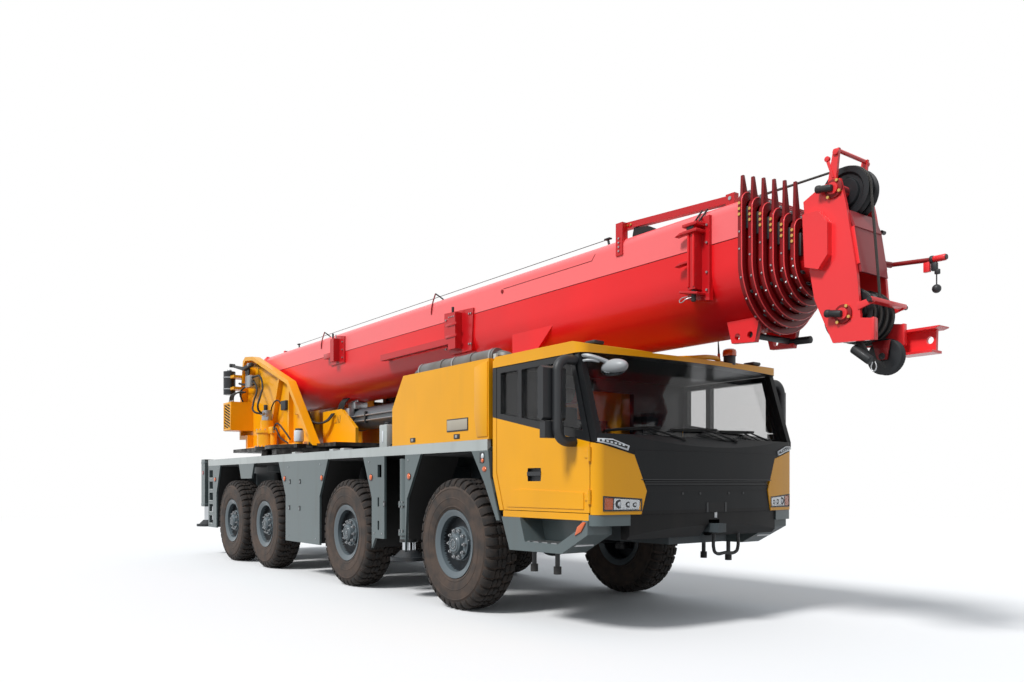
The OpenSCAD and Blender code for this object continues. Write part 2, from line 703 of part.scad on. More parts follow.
// Side plate of the turret: a web with a flange round its edge and two ribs
module turret_side() {
    t = table_z + 30;
    difference() {
        side_plate([[-2100, t], [970, t], [-50, 3040], [-1750, 3650], [-2150, 3690], [-2270, 3620],
                    [-2450, 2700], [-2450, 2150], [-2100, 2150]], web_y[0], flange_y);
        side_plate([[-2010, t + 70], [815, t + 70], [-115, 2990], [-1760, 3580], [-2130, 3615],
            [-2200, 3570],
                    [-2375, 2690], [-2375, 2220], [-2010, 2220]], web_y[1], flange_y + 5);
    }
    side_plate([[-1130, t], [-1070, t], [-510, 3140], [-570, 3160]], web_y[1] - 5, flange_y - 30);
    side_plate([[-150, t], [-80, t], [-80, 2960], [-150, 2960]], web_y[1] - 5, flange_y - 30);
}
module slew_drive() {
    translate([drive_at[0], drive_at[1], 0]) {
        bar_z(drive_r + 45, table_z, table_z + table_t);
        bar_z(drive_r, table_z + table_t - 5, table_z + 330);
        bar_z(drive_r + 22, table_z + 300, table_z + 350);
        bar_z(drive_r - 55, table_z + 345, table_z + 520);
        bar_z(95, table_z - 150, table_z + 5);
    }
}
module louvre_box() {
    difference() {
        block([-2430, -1010, 2300], [-2010, -web_y[1] + 5, 2830]);
        for (i = [0:5]) translate([-2220, 0, 2360 + i * 75]) rotate([-25, 0, 0])
            translate([-170, -1130, -12]) cube([340, 180, 24]);
    }
}
module turntable() {
    foot_at = foot - [slew_x, 0, 0];
    lift_at = lift_foot - [slew_x, 0, 0];
    color(yellow) translate([slew_x, 0, 0]) {
        difference() {
            union() {
                bar_z(ring_r + 60, table_z, table_z + table_t);
                block([-2250, -900, table_z], [0, 900, table_z + table_t]);
                block([0, -640, table_z], [1650, 1380, table_z + table_t]);
                for (s = sides) on_side(s) {
                    turret_side();
                    side_plate([[450, table_z + 30], [1650, table_z + 30], [1650, 2180], [1150, 2500],
                        [450, 2500]], 260, 310);
                }
                slew_drive();
                louvre_box();
            }
            translate(winch - [slew_x, 0, 0]) bar_y(winch_shaft_r + running, -flange_y - 5, flange_y + 5);
        }
        translate(foot_at) bar_y(foot_r, -flange_y - 20, flange_y + 20);
        translate(lift_at) bar_y(50, -320, 320);
        translate([-2590, -860, 0]) bar_z(110, 3010, 3450);
        for (z = [3090, 3310]) block([-2590, -880, z], [-2280, -600, z + 50]);
        translate([700, -830, 0]) {
            bar_z(60, table_z + table_t - 5, table_z + 130);
            block([-60, -60, table_z], [60, 200, table_z + table_t]);
        }
    }
}
module winch_drum() {
    color(dark) translate(winch) {
        bar_y(240, -480, 480);
        bar_y(winch_shaft_r, -web_y[1] + 5, web_y[1] - 5);
        for (y = [-500, 460]) bar_y(310, y, y + 40);
    }
}
ocab = [slew_x + 150, 730, table_z + table_t];
ocab_size = [1700, 640, 1490];
ocab_wall = 45;
ocab_sill = 620;
module operator_cab() {
    t = ocab_wall;
    l = ocab_size[0];
    w = ocab_size[1];
    h = ocab_size[2];
    color(yellow) translate(ocab) {
        side_plate([[0, 0], [l, 0], [l, t], [0, t]], 0, w);
        side_plate([[0, h - t], [l - 130, h - t], [l - 150, h], [40, h], [0, h - 20]], 0, w);
        for (y = [0, w - t]) {
            block([0, y, t + eps], [t, y + t, h - t - eps]);
            side_plate([[l - t, t + eps], [l, t + eps], [l - 130, h - t - eps],
                [l - 130 - t, h - t - eps]], y, y + t);
            block([t + eps, y, t + eps], [l - t - eps, y + t, ocab_sill]);
        }
        block([0, t + eps, t + eps], [t, w - t - eps, 800]);
        block([250, 110, t + eps], [750, 530, 450]);
        side_plate([[210, 450 + eps], [330, 450 + eps], [260, 1150], [160, 1150]], 130, 510);
    }
}
module operator_glass() {
    t = ocab_wall;
    l = ocab_size[0];
    w = ocab_size[1];
    h = ocab_size[2];
    e = 2 * eps;
    lean = 130 / (h - 2 * t);
    color(clear, 0.4) translate(ocab) {
        for (y = [12, w - 20])
            side_plate([[t + e, ocab_sill + eps], [l - t - e - lean * (ocab_sill - t), ocab_sill + eps],
                        [l - 130 - t - e, h - t - eps], [t + e, h - t - eps]], y, y + 8);
        side_plate([[l - 24, t + eps], [l - 16, t + eps], [l - 146, h - t - eps],
            [l - 154, h - t - eps]], t + e, w - t - e);
    }
}

/* Lift cylinder */
barrel_len = 4500;
module on_lift() { translate(lift_foot) rotate([0, -lift_tilt, 0]) children(); }
module lift_barrel() {
    color(grey) on_lift() difference() {
        union() {
            bar_y(150, -240, 240);
            bar_x(barrel_r, 60, barrel_len);
            bar_x(barrel_r + 12, 260, 330);
            bar_x(barrel_r + 12, barrel_len - 120, barrel_len);
        }
        bar_y(50 + running, -241, 241);
        bar_x(rod_r + eps, 300, barrel_len + 1);
    }
}
module lift_rod() {
    color("silver") on_lift() {
        bar_x(rod_r, 460, lift_len - 60);
        translate([lift_len, 0, 0]) bar_y(150, -115, 115);
    }
}

/* Boom */
section_step = boom_t + boom_gap;
boom_rear = foot[0] + 250;
corner = 90;
function section_rear(n) = boom_rear + 120 + n * 40;
function section_front(n) = boom_front + (n - 1) * collar_pitch;
// Outline of a boom section: flat top with rounded corners, straight sides, round bottom
module boom_outline(w, h) {
    r = w / 2;
    c = corner;
    translate([0, r]) circle(r = r, $fn = 96);
    translate([-r, r]) square([w, h - r - c]);
    translate([-r + c, h - c - 1]) square([w - 2 * c, c + 1]);
    for (k = [1, -1]) translate([k * (r - c), h - c]) circle(r = c);
}
// A stretch of section n whose outside stands out from the tube's own
module boom_ring(n, x0, x1, out) {
    d = (n - 1) * section_step;
    w = boom_w - 2 * d;
    h = boom_h - 2 * d;
    translate([x0, 0, boom_z + d - out]) rotate([90, 0, 90]) linear_extrude(x1 - x0) difference() {
        boom_outline(w + 2 * out, h + 2 * out);
        translate([0, out + boom_t]) boom_outline(w - 2 * boom_t, h - 2 * boom_t);
    }
}
// Collar at a section's front end, with a horn on each shoulder that keeps the rope on top
fin_rise = 170;
fin_fall = 18;
module collar(n) {
    x = section_front(n);
    d = (n - 1) * section_step;
    fin_y = boom_w / 2 - d;
    root = boom_z + boom_h - d + boom_gap;
    tip_z = boom_z + boom_h + fin_rise - (n - 1) * fin_fall;
    boom_ring(n, x - collar_t, x, boom_gap);
    for (s = sides) on_side(s) cross_plate([[fin_y - 60, root - 45], [fin_y + 22, root - 60],
        [fin_y + 12, tip_z], [fin_y - 8, tip_z]], x - collar_t + 8, x - 8);
}
bracket_y = 120;
// Brackets that carry the stowed extension on the right side of the base section
module stow_brackets() {
    side = boom_w / 2;
    mirror([0, 1, 0]) {
        side_plate([[2460, 2900], [2700, 2860], [2700, 3580], [2460, 3560]], side - 20, side + 30);
        side_plate([[2540, 2960], [2620, 2960], [2620, 3500], [2540, 3500]], side + 25, side + bracket_y);
        side_plate([[-1500, 3080], [-1350, 2900], [-900, 2900], [-860, 3400],
            [-1500, 3430]], side - 60, side + 20);
        side_plate([[-1260, 2940], [-1100, 2940], [-1100, 3380],
            [-1260, 3380]], side + 15, side + bracket_y);
        block([-3000, side + bracket_y - 70, 3010], [-1180, side + bracket_y, 3090]);
        block([-2960, side - 10, 3015], [-2880, side + bracket_y - 60, 3085]);
        side_plate([[-4850, 3160], [-4350, 3160], [-4350, 3560], [-4600, 3600],
            [-4850, 3400]], side - 10, side + 20);
        side_plate([[-4640, 3190], [-4520, 3190], [-4520, 3540],
            [-4640, 3540]], side + 15, side + bracket_y);
    }
}
// Square tube along the right shoulder, on a bracket at each end
module top_tube() {
    side = boom_w / 2;
    mirror([0, 1, 0]) {
        side_plate([[1540, 3740], [2880, 3655], [2880, 3715], [1540, 3800]], side - 110, side - 50);
        side_plate([[1550, 3480], [1640, 3480], [1640, 3790], [1550, 3790]], side - 60, side + 12);
        side_plate([[2810, 3600], [2900, 3600], [2900, 3730], [2810, 3730]], side - 100, side - 45);
    }
}
module boom_base() {
    inner_w = boom_w - 2 * boom_t;
    color(red) difference() {
        union() {
            boom_ring(1, boom_rear, boom_front, 0);
            collar(1);
            for (s = sides) on_side(s) {
                side_plate([[foot[0], foot_z - 150], [boom_rear + 100, foot_z - 420],
                    [boom_rear + 100, foot_z + 250],
                            [foot[0], foot_z + 150]], boom_w / 2 - boom_t - 40, boom_w / 2);
                side_plate([[eye_x - 260, eye_z - 160], [eye_x + 160, eye_z - 160],
                    [eye_x + 700, boom_z + 260],
                            [eye_x - 260, boom_z + 260]], 135, 185);
                side_plate([[-140, 3200], [-140, 2660], [240, 2700], [760, 3140]], 450, 480);
                difference() {
                    side_plate([[2690, 2700], [2740, 2510], [2980, 2495], [3025, 2700]], 240, 290);
                    for (x = [2800, 2930]) translate([x, 0, 2560]) bar_y(28, 235, 295);
                }
            }
            translate(foot) bar_y(150, -boom_w / 2, boom_w / 2);
            stow_brackets();
            top_tube();
        }
        translate(foot) bar_y(foot_r + running, -boom_w / 2 - 1, boom_w / 2 + 1);
        translate([boom_rear + 101, 0, boom_z + boom_t]) rotate([90, 0, 90])
            linear_extrude(boom_front - boom_rear)
            boom_outline(inner_w, boom_h - 2 * boom_t);
    }
}
module boom_section(n) {
    color(red) {
        boom_ring(n, section_rear(n), n < 7 ? section_front(n) : head_rear + 45, 0);
        boom_ring(n, section_rear(n), section_rear(n) + 60, boom_gap - eps);
        if (n < 7) collar(n);
        else boom_head();
    }
}
head_rear = 3390;
head_y = [boom_w / 2 - 6 * section_step - 12, boom_w / 2 - 6 * section_step + 18];
sheave_top = [3660, 0, 3590];
sheave_low = [3740, 0, 2610];
sheave_n = 4;
sheave_w = 62;
sheave_pitch = 84;
sheave_pin_r = 45;
tip = [head_front - 100, 300, 2405];
tip_r = 28;
tip_t = 30;
module boom_head() {
    w = head_y[0];
    difference() {
        union() {
            for (s = sides) on_side(s) {
                side_plate([[head_rear, 3560], [3550, 3640], [3710, 3660], [3760, 3450], [3850, 2910],
                    [3880, 2560],
                            [4000, 2540], [4000, 2380], [3650, 2400], [3490, 2760],
                                [head_rear + 50, 3030]], w, head_y[1]);
                side_plate([[3420, 3440], [3560, 3440], [3640, 3330], [3640, 3080], [3560, 2980],
                    [3440, 3020]], head_y[1] - 5, head_y[1] + 60);
                side_plate([[3600, 3640], [3670, 3640], [3700, 3900], [3650, 3900]], w, head_y[1] - 5);
            }
            side_plate([[3790, 3270], [3815, 3274], [3862, 2980], [3837, 2976]], -w - 5, w + 5);
            side_plate([[head_rear + 10, 3300], [head_rear + 40, 3300], [3560, 2900], [3560, 2870],
                [head_rear + 80, 2870]], -w - 5, w + 5);
            translate([3675, 0, 3890]) bar_y(16, -w - 5, w + 5);
            for (p = [sheave_top, sheave_low]) translate(p)
                bar_y(sheave_pin_r, -head_y[1] - 30, head_y[1] + 30);
            head_bracket();
        }
        translate(tip) bar_y(tip_r, -tip_t, tip_t);
    }
}
// Channel at the left of the head that an extension is pinned to
module head_bracket() {
    web = [tip[1] - tip_t / 2, tip[1] + tip_t / 2];
    side_plate([[3930, 2320], [head_front - 55, 2320], [head_front - 50, 2490],
        [3930, 2490]], web[0], web[1]);
    side_plate([[3930, 2480], [head_front - 40, 2480], [head_front, 2492], [head_front, 2500],
        [3930, 2500]], web[0] - 60, web[1] + 60);
    side_plate([[3930, 2305], [head_front - 55, 2305], [head_front - 55, 2325],
        [3930, 2325]], web[0] - 60, web[1] + 60);
    block([3900, head_y[1] - 5, 2400], [3960, web[1] + 60, 2500]);
}
module sheave() {
    r = sheave_r;
    h = sheave_w / 2;
    rotate([-90, 0, 0]) difference() {
        rotate_extrude($fn = 96) polygon([[sheave_pin_r + running, -h], [110, -h], [120, -12],
            [r - 60, -12], [r - 45, -h],
            [r, -h], [r - 36, -8], [r - 36, 8], [r, h], [r - 45, h], [r - 60, 12], [120, 12], [110, h],
                [sheave_pin_r + running, h]]);
    }
}
module sheaves() {
    color(dark) for (i = [0:sheave_n - 1]) {
        y = (i - (sheave_n - 1) / 2) * sheave_pitch;
        translate(sheave_low + [0, y, 0]) sheave();
        if (i == 1 || i == 2) translate(sheave_top + [0, y, 0]) sheave();
    }
}

for (a = [1:4], s = sides) {
    on_frame() at_wheel(a, s) tyre();
    on_frame() at_wheel(a, s) rim();
    on_frame() at_wheel(a, s) knuckle();
}
for (s = sides) {
    on_frame() door(s);
    on_frame() door_glass(s);
}
for (g = legs) {
    on_frame() outrigger_beam(g);
    on_frame() jack(g);
}
for (n = [2:7]) on_frame() boom_section(n);
on_frame() axles();
on_frame() chassis_frame();
on_frame() slewing_ring();
on_frame() deck();
on_frame() engine();
on_frame() engine_cover();
on_frame() cab_shell();
on_frame() cab_front();
on_frame() cab_glass();
on_frame() cab_interior();
on_frame() turntable();
on_frame() winch_drum();
on_frame() operator_cab();
on_frame() operator_glass();
on_frame() lift_barrel();
on_frame() lift_rod();
on_frame() boom_base();
on_frame() sheaves();
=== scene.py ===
"""Looks of a four-axle mobile crane: paint, rubber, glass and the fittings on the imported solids."""
import math

import bmesh
import bpy
from mathutils import Matrix, Vector


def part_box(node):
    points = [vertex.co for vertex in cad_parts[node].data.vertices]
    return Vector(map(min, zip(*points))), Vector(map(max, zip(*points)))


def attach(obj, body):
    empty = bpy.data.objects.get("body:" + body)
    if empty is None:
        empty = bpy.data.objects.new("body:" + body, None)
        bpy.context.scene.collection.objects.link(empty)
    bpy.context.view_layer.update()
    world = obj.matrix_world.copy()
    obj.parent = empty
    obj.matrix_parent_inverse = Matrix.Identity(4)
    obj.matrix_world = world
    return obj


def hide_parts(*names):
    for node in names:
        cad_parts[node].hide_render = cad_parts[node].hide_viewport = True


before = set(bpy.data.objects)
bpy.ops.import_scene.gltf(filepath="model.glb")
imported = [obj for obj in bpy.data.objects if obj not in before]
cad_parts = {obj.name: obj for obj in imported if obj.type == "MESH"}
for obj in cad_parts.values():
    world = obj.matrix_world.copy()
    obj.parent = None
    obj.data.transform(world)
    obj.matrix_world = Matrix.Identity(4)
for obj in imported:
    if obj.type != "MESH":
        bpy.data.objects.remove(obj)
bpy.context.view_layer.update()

# The stage
# A pale floor that runs out into a white background, one soft sun and an even sky.
# The camera stands off the right front corner, level, at the height of a person's chest.


class Wire:
    """A socket of a finish. Sums on it add Math nodes to that finish."""

    def __init__(self, finish, socket):
        self.finish = finish
        self.socket = socket

    def maths(self, operation, *values):
        return self.finish.node("ShaderNodeMath", {"operation": operation}, dict(enumerate(values)))

    def __add__(self, other):
        return self.maths("ADD", self, other)

    def __rsub__(self, other):
        return self.maths("SUBTRACT", other, self)

    def __mul__(self, other):
        return self.maths("MULTIPLY", self, other)

    def __gt__(self, other):
        return self.maths("GREATER_THAN", self, other)

    def __lt__(self, other):
        return self.maths("LESS_THAN", self, other)

    __radd__ = __add__
    __rmul__ = __mul__


class Finish:
    """One material. node() adds a node, set() gives the shader's own sockets."""

    def __init__(self, name):
        self.material = bpy.data.materials.new(name)
        self.material.use_nodes = True
        self.tree = self.material.node_tree
        self.surface = self.tree.nodes["Principled BSDF"]
        self.place = self.node("ShaderNodeTexCoord", output="Object")

    def node(self, kind, settings=None, sockets=None, output=0):
        made = self.tree.nodes.new(kind)
        for name, value in (settings or {}).items():
            setattr(made, name, value)
        for name, value in (sockets or {}).items():
            if isinstance(value, Wire):
                self.tree.links.new(value.socket, made.inputs[name])
            else:
                made.inputs[name].default_value = value
        return Wire(self, made.outputs[output])

    def set(self, **sockets):
        for name, value in sockets.items():
            socket = self.surface.inputs[name.replace("_", " ").title().replace("Ior", "IOR")]
            if isinstance(value, Wire):
                self.tree.links.new(value.socket, socket)
            else:
                socket.default_value = value

    def speckle(self, scale, detail=3.0, stretch=(1, 1, 1)):
        """Grey noise at so many spots a metre, pulled long in one direction by stretch."""
        place = self.node("ShaderNodeMapping", None, {"Vector": self.place, "Scale": stretch})
        return self.node("ShaderNodeTexNoise", None, {"Vector": place, "Scale": scale, "Detail": detail})

    def blend(self, share, first, second):
        return self.node("ShaderNodeMix", {"data_type": "RGBA"}, {0: share, 6: first, 7: second}, output=2)

    def limits(self, value, low, high):
        """0 below low, 1 above high, and a straight ramp between."""
        return self.node("ShaderNodeMapRange", None, {0: value, 1: low, 2: high})

    def axis(self, name):
        return self.node("ShaderNodeSeparateXYZ", None, {0: self.place}, output=name)

    def grain(self, height, depth):
        return self.node("ShaderNodeBump", None, {"Height": height, "Distance": depth, "Strength": 1.0},
                         "Normal")


def tint(colour, gain):
    return tuple(min(1.0, part * gain) for part in colour[:3]) + (1.0,)


def srgb(red, green, blue):
    """A colour as it is written for a screen, from 0 to 255, in the linear values that a shader takes."""
    parts = (red / 255, green / 255, blue / 255)
    linear = tuple(part / 12.92 if part < 0.0405 else ((part + 0.055) / 1.055) ** 2.4 for part in parts)
    return linear + (1.0,)


FLOOR_SIZE = 160.0
FLOOR_NEAR = 9.0
FLOOR_FAR = 26.0
SHOWN_FLOOR = (0.86, 0.86, 0.86, 1.0)
BOUNCE_FLOOR = (0.16, 0.16, 0.16, 1.0)
ground = bmesh.new()
bmesh.ops.create_grid(ground, x_segments=1, y_segments=1, size=FLOOR_SIZE / 2)
floor_mesh = bpy.data.meshes.new("floor")
ground.to_mesh(floor_mesh)
ground.free()
floor = bpy.data.objects.new("floor", floor_mesh)
bpy.context.scene.collection.objects.link(floor)
concrete = Finish("floor")
seen = concrete.node("ShaderNodeLightPath", output="Is Camera Ray")
for ray in ("Is Glossy Ray", "Is Transmission Ray"):
    seen = seen + concrete.node("ShaderNodeLightPath", output=ray)
seen = concrete.limits(seen, 0.0, 1.0)
concrete.set(base_color=concrete.blend(seen, BOUNCE_FLOOR, SHOWN_FLOOR), roughness=0.9)
far_off = concrete.node("ShaderNodeVectorMath", {"operation": "LENGTH"}, {0: concrete.place}, "Value")
white = concrete.node("ShaderNodeEmission", None, {"Strength": 1.0}, "Emission")
fade = concrete.node("ShaderNodeMixShader", None,
                     {0: concrete.limits(far_off, FLOOR_NEAR, FLOOR_FAR) * seen,
                      1: Wire(concrete, concrete.surface.outputs[0]), 2: white})
concrete.tree.links.new(fade.socket, concrete.tree.nodes["Material Output"].inputs["Surface"])
floor_mesh.materials.append(concrete.material)

SKY_COLOUR = (0.86, 0.93, 1.0, 1.0)
SKY_LEVEL = 0.56
world = bpy.data.worlds.new("sky")
world.use_nodes = True
bpy.context.scene.world = world
sky = world.node_tree
light_path = sky.nodes.new("ShaderNodeLightPath")
backdrop = sky.nodes.new("ShaderNodeBackground")
chooser = sky.nodes.new("ShaderNodeMixShader")
sky.nodes["Background"].inputs["Color"].default_value = SKY_COLOUR
sky.nodes["Background"].inputs["Strength"].default_value = SKY_LEVEL
backdrop.inputs["Color"].default_value = (1.0, 1.0, 1.0, 1.0)
shown = light_path.outputs["Is Camera Ray"]
for ray in ("Is Glossy Ray", "Is Transmission Ray"):
    either = sky.nodes.new("ShaderNodeMath")
    either.operation = "MAXIMUM"
    sky.links.new(shown, either.inputs[0])
    sky.links.new(light_path.outputs[ray], either.inputs[1])
    shown = either.outputs[0]
sky.links.new(shown, chooser.inputs[0])
sky.links.new(sky.nodes["Background"].outputs[0], chooser.inputs[1])
sky.links.new(backdrop.outputs[0], chooser.inputs[2])
sky.links.new(chooser.outputs[0], sky.nodes["World Output"].inputs["Surface"])

SUN_LEVEL = 2.9
SUN_TURN = (math.radians(42), 0.0, math.radians(5))
SUN_SPREAD = math.radians(14)
sun = bpy.data.lights.new("sun", "SUN")
sun.energy = SUN_LEVEL
sun.angle = SUN_SPREAD
sun_object = bpy.data.objects.new("sun", sun)
sun_object.rotation_euler = SUN_TURN
bpy.context.scene.collection.objects.link(sun_object)

# Stations are measured from the front axle
first_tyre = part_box("tyre_1l")
FRONT_AXLE = (first_tyre[0].x + first_tyre[1].x) / 2
CAMERA_PLACE = (FRONT_AXLE + 7.34, -6.07, 1.31)
CAMERA_TURN = math.radians(53.25)
PHOTO_WIDTH = 1024
PHOTO_HEIGHT = 682
FOCAL_PIXELS = 835
SENSOR_WIDTH = 36.0
HORIZON_ROW = 484
camera = bpy.data.cameras.new("camera")
camera.sensor_width = SENSOR_WIDTH
camera.lens = FOCAL_PIXELS / PHOTO_WIDTH * SENSOR_WIDTH
camera.shift_y = (HORIZON_ROW - PHOTO_HEIGHT / 2) / PHOTO_WIDTH
camera_object = bpy.data.objects.new("camera", camera)
camera_object.location = CAMERA_PLACE
camera_object.rotation_euler = (math.radians(90), 0.0, CAMERA_TURN)
bpy.context.scene.collection.objects.link(camera_object)
bpy.context.scene.camera = camera_object
bpy.context.scene.view_settings.view_transform = "Standard"

# Tyres
# Single radial tyres of vulcanised rubber, 1.37 m across, with open shoulder lugs and three rows of
# blocks on the crown. Road dust browns the sidewalls. Each is pulled over the rim's two flanges.


class Shape:
    """A piece in the making. Its forms are in metres, measured from the front axle on the ground or from
    the zero that into() is given."""

    def __init__(self):
        self.mesh = bmesh.new()
        self.finishes = []

    def number(self, finish):
        """A finish's place in this shape's list, where a new one is added."""
        if finish not in self.finishes:
            self.finishes.append(finish)
        return self.finishes.index(finish)

    def absorb(self, form):
        """Copies a form's mesh into this one and ends the form."""
        spare = bpy.data.meshes.new("spare")
        form.to_mesh(spare)
        form.free()
        self.mesh.from_mesh(spare)
        bpy.data.meshes.remove(spare)

    def everything(self):
        return self.mesh.verts[:] + self.mesh.edges[:] + self.mesh.faces[:]

    def take(self, form, finish, bevel=0.0, sharp=35.0):
        """Adds one form in one finish, with its sharp edges rounded first."""
        bmesh.ops.remove_doubles(form, verts=form.verts, dist=1e-5)
        bmesh.ops.recalc_face_normals(form, faces=form.faces)
        if bevel:
            limit = math.radians(sharp)
            edges = [edge for edge in form.edges if edge.is_manifold and edge.calc_face_angle(0.0) > limit]
            bmesh.ops.bevel(form, geom=edges, offset=bevel, segments=2, profile=0.5,
                            affect="EDGES", material=-1, clamp_overlap=True)
        number = self.number(finish)
        for face in form.faces:
            face.material_index = number
        self.absorb(form)

    def block(self, low, high, finish, bevel=0.0):
        """A box between two corners."""
        form = bmesh.new()
        low, high = Vector(low), Vector(high)
        bmesh.ops.create_cube(form, size=1.0)
        bmesh.ops.scale(form, vec=high - low, verts=form.verts)
        bmesh.ops.translate(form, vec=(low + high) / 2, verts=form.verts)
        self.take(form, finish, bevel)

    def rod(self, start, end, radius, finish, tip=None, sides=16, bevel=0.0):
        """A round bar, or a cone where tip gives its end another radius."""
        form = bmesh.new()
        start, end = Vector(start), Vector(end)
        run = end - start
        place = Matrix.Translation((start + end) / 2) @ run.to_track_quat("Z", "Y").to_matrix().to_4x4()
        bmesh.ops.create_cone(form, cap_ends=True, segments=sides, radius1=radius,
                              radius2=radius if tip is None else tip, depth=run.length, matrix=place)
        self.take(form, finish, bevel, sharp=60.0)

    def pin(self, axis, place, start, end, radius, finish, **more):
        """A round bar along X, Y or Z; place gives the other two coordinates in order."""
        ends = []
        for along in (start, end):
            spot = list(place)
            spot.insert("xyz".index(axis), along)
            ends.append(spot)
        self.rod(*ends, radius, finish, **more)

    def bolt(self, axis, place, start, end, radius):
        """The hexagon of a bolt, along X, Y or Z."""
        self.pin(axis, place, start, end, radius, bolt_steel, sides=6)

    def bolt_circle(self, axis, centre, reach, start, end, radius, count):
        """Bolts round an axis through centre; the first stands to the front."""
        ring = Shape()
        ring.bolt(axis, (centre[0] + reach, centre[1]), start, end, radius)
        middle = list(centre)
        middle.insert("xyz".index(axis), 0)
        ring.around(count, middle, [1 if name == axis else 0 for name in "xyz"])
        self.join(ring)

    def plate(self, outline, plane, low, high, finish, bevel=0.0):
        """A flat outline in the xz, yz or xy plane, given a thickness from low to high."""
        form = bmesh.new()
        order = {"xz": (0, 2, 1), "yz": (1, 2, 0), "xy": (0, 1, 2)}[plane]
        ring = []
        for first, second in outline:
            spot = [0.0, 0.0, 0.0]
            spot[order[0]], spot[order[1]], spot[order[2]] = first, second, low
            ring.append(form.verts.new(spot))
        made = bmesh.ops.extrude_face_region(form, geom=[form.faces.new(ring)])["geom"]
        push = [0.0, 0.0, 0.0]
        push[order[2]] = high - low
        moved = [part for part in made if isinstance(part, bmesh.types.BMVert)]
        bmesh.ops.translate(form, vec=push, verts=moved)
        self.take(form, finish, bevel)

    def lathe(self, profile, centre, axis, finish, steps=32, closed=False):
        """A profile of (radius, distance along the axis) turned once round."""
        form = bmesh.new()
        centre, axis = Vector(centre), Vector(axis).normalized()
        side = axis.orthogonal().normalized()
        chain = [form.verts.new(centre + axis * along + side * radius) for radius, along in profile]
        pairs = list(zip(chain, chain[1:])) + ([(chain[-1], chain[0])] if closed else [])
        edges = [form.edges.new(pair) for pair in pairs]
        bmesh.ops.spin(form, geom=chain + edges, cent=centre, axis=axis, angle=math.tau, steps=steps,
                       use_merge=True)
        self.take(form, finish)

    def pipe(self, points, radius, finish, sides=2):
        """A tube that runs through the points, bending smoothly at each."""
        line = bpy.data.curves.new("spare", "CURVE")
        line.dimensions = "3D"
        line.bevel_depth = radius
        line.bevel_resolution = sides
        line.resolution_u = 6
        line.use_fill_caps = True
        run = line.splines.new("BEZIER")
        run.bezier_points.add(len(points) - 1)
        for knot, point in zip(run.bezier_points, points):
            knot.co = point
            knot.handle_left_type = knot.handle_right_type = "AUTO"
        carrier = bpy.data.objects.new("spare", line)
        swept = carrier.to_mesh()
        form = bmesh.new()
        form.from_mesh(swept)
        carrier.to_mesh_clear()
        bpy.data.objects.remove(carrier)
        bpy.data.curves.remove(line)
        self.take(form, finish)

    def ball(self, centre, size, finish, sides=20):
        """An egg with three radii."""
        form = bmesh.new()
        bmesh.ops.create_uvsphere(form, u_segments=sides, v_segments=sides // 2, radius=1.0)
        bmesh.ops.scale(form, vec=size, verts=form.verts)
        bmesh.ops.translate(form, vec=centre, verts=form.verts)
        self.take(form, finish)

    def around(self, count, centre, axis):
        """Repeats what is there round an axis, count times in all."""
        bmesh.ops.spin(self.mesh, geom=self.everything(), cent=centre, axis=axis, steps=count - 1,
                       angle=math.tau * (count - 1) / count, use_duplicate=True)

    def join(self, other):
        """Adds another shape's forms and ends it."""
        numbers = [self.number(finish) for finish in other.finishes]
        for face in other.mesh.faces:
            face.material_index = numbers[face.material_index]
        self.absorb(other.mesh)

    def mirror(self):
        """Adds the same forms on the other side of the middle plane."""
        copy = bmesh.ops.duplicate(self.mesh, geom=self.everything())["geom"]
        verts = [part for part in copy if isinstance(part, bmesh.types.BMVert)]
        faces = [part for part in copy if isinstance(part, bmesh.types.BMFace)]
        bmesh.ops.scale(self.mesh, vec=(1, -1, 1), verts=verts)
        bmesh.ops.reverse_faces(self.mesh, faces=faces)

    def placed(self, matrix):
        """A copy of this shape, moved by a matrix."""
        copy = Shape()
        copy.mesh = self.mesh.copy()
        copy.finishes = list(self.finishes)
        bmesh.ops.transform(copy.mesh, matrix=matrix, verts=copy.mesh.verts)
        if matrix.determinant() < 0:
            bmesh.ops.reverse_faces(copy.mesh, faces=copy.mesh.faces)
        return copy

    def into(self, name, body, slot, at=(0, 0, 0)):
        """Ends the shape as one piece that rides on a body; at is the place of the shape's own zero."""
        bmesh.ops.translate(self.mesh, vec=Vector(at) + Vector((FRONT_AXLE, 0, 0)), verts=self.mesh.verts)
        mesh = bpy.data.meshes.new(name)
        self.mesh.to_mesh(mesh)
        self.mesh.free()
        for finish in self.finishes:
            mesh.materials.append(finish.material)
        mesh.shade_smooth()
        mesh.set_sharp_from_angle(angle=math.radians(35))
        piece = bpy.data.objects.new(name, mesh)
        bpy.context.scene.collection.objects.link(piece)
        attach(piece, body)
        return piece


def middle_of(node):
    """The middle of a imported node's box, with X measured from the front axle."""
    low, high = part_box(node)
    return (low + high) / 2 - Vector((FRONT_AXLE, 0, 0))


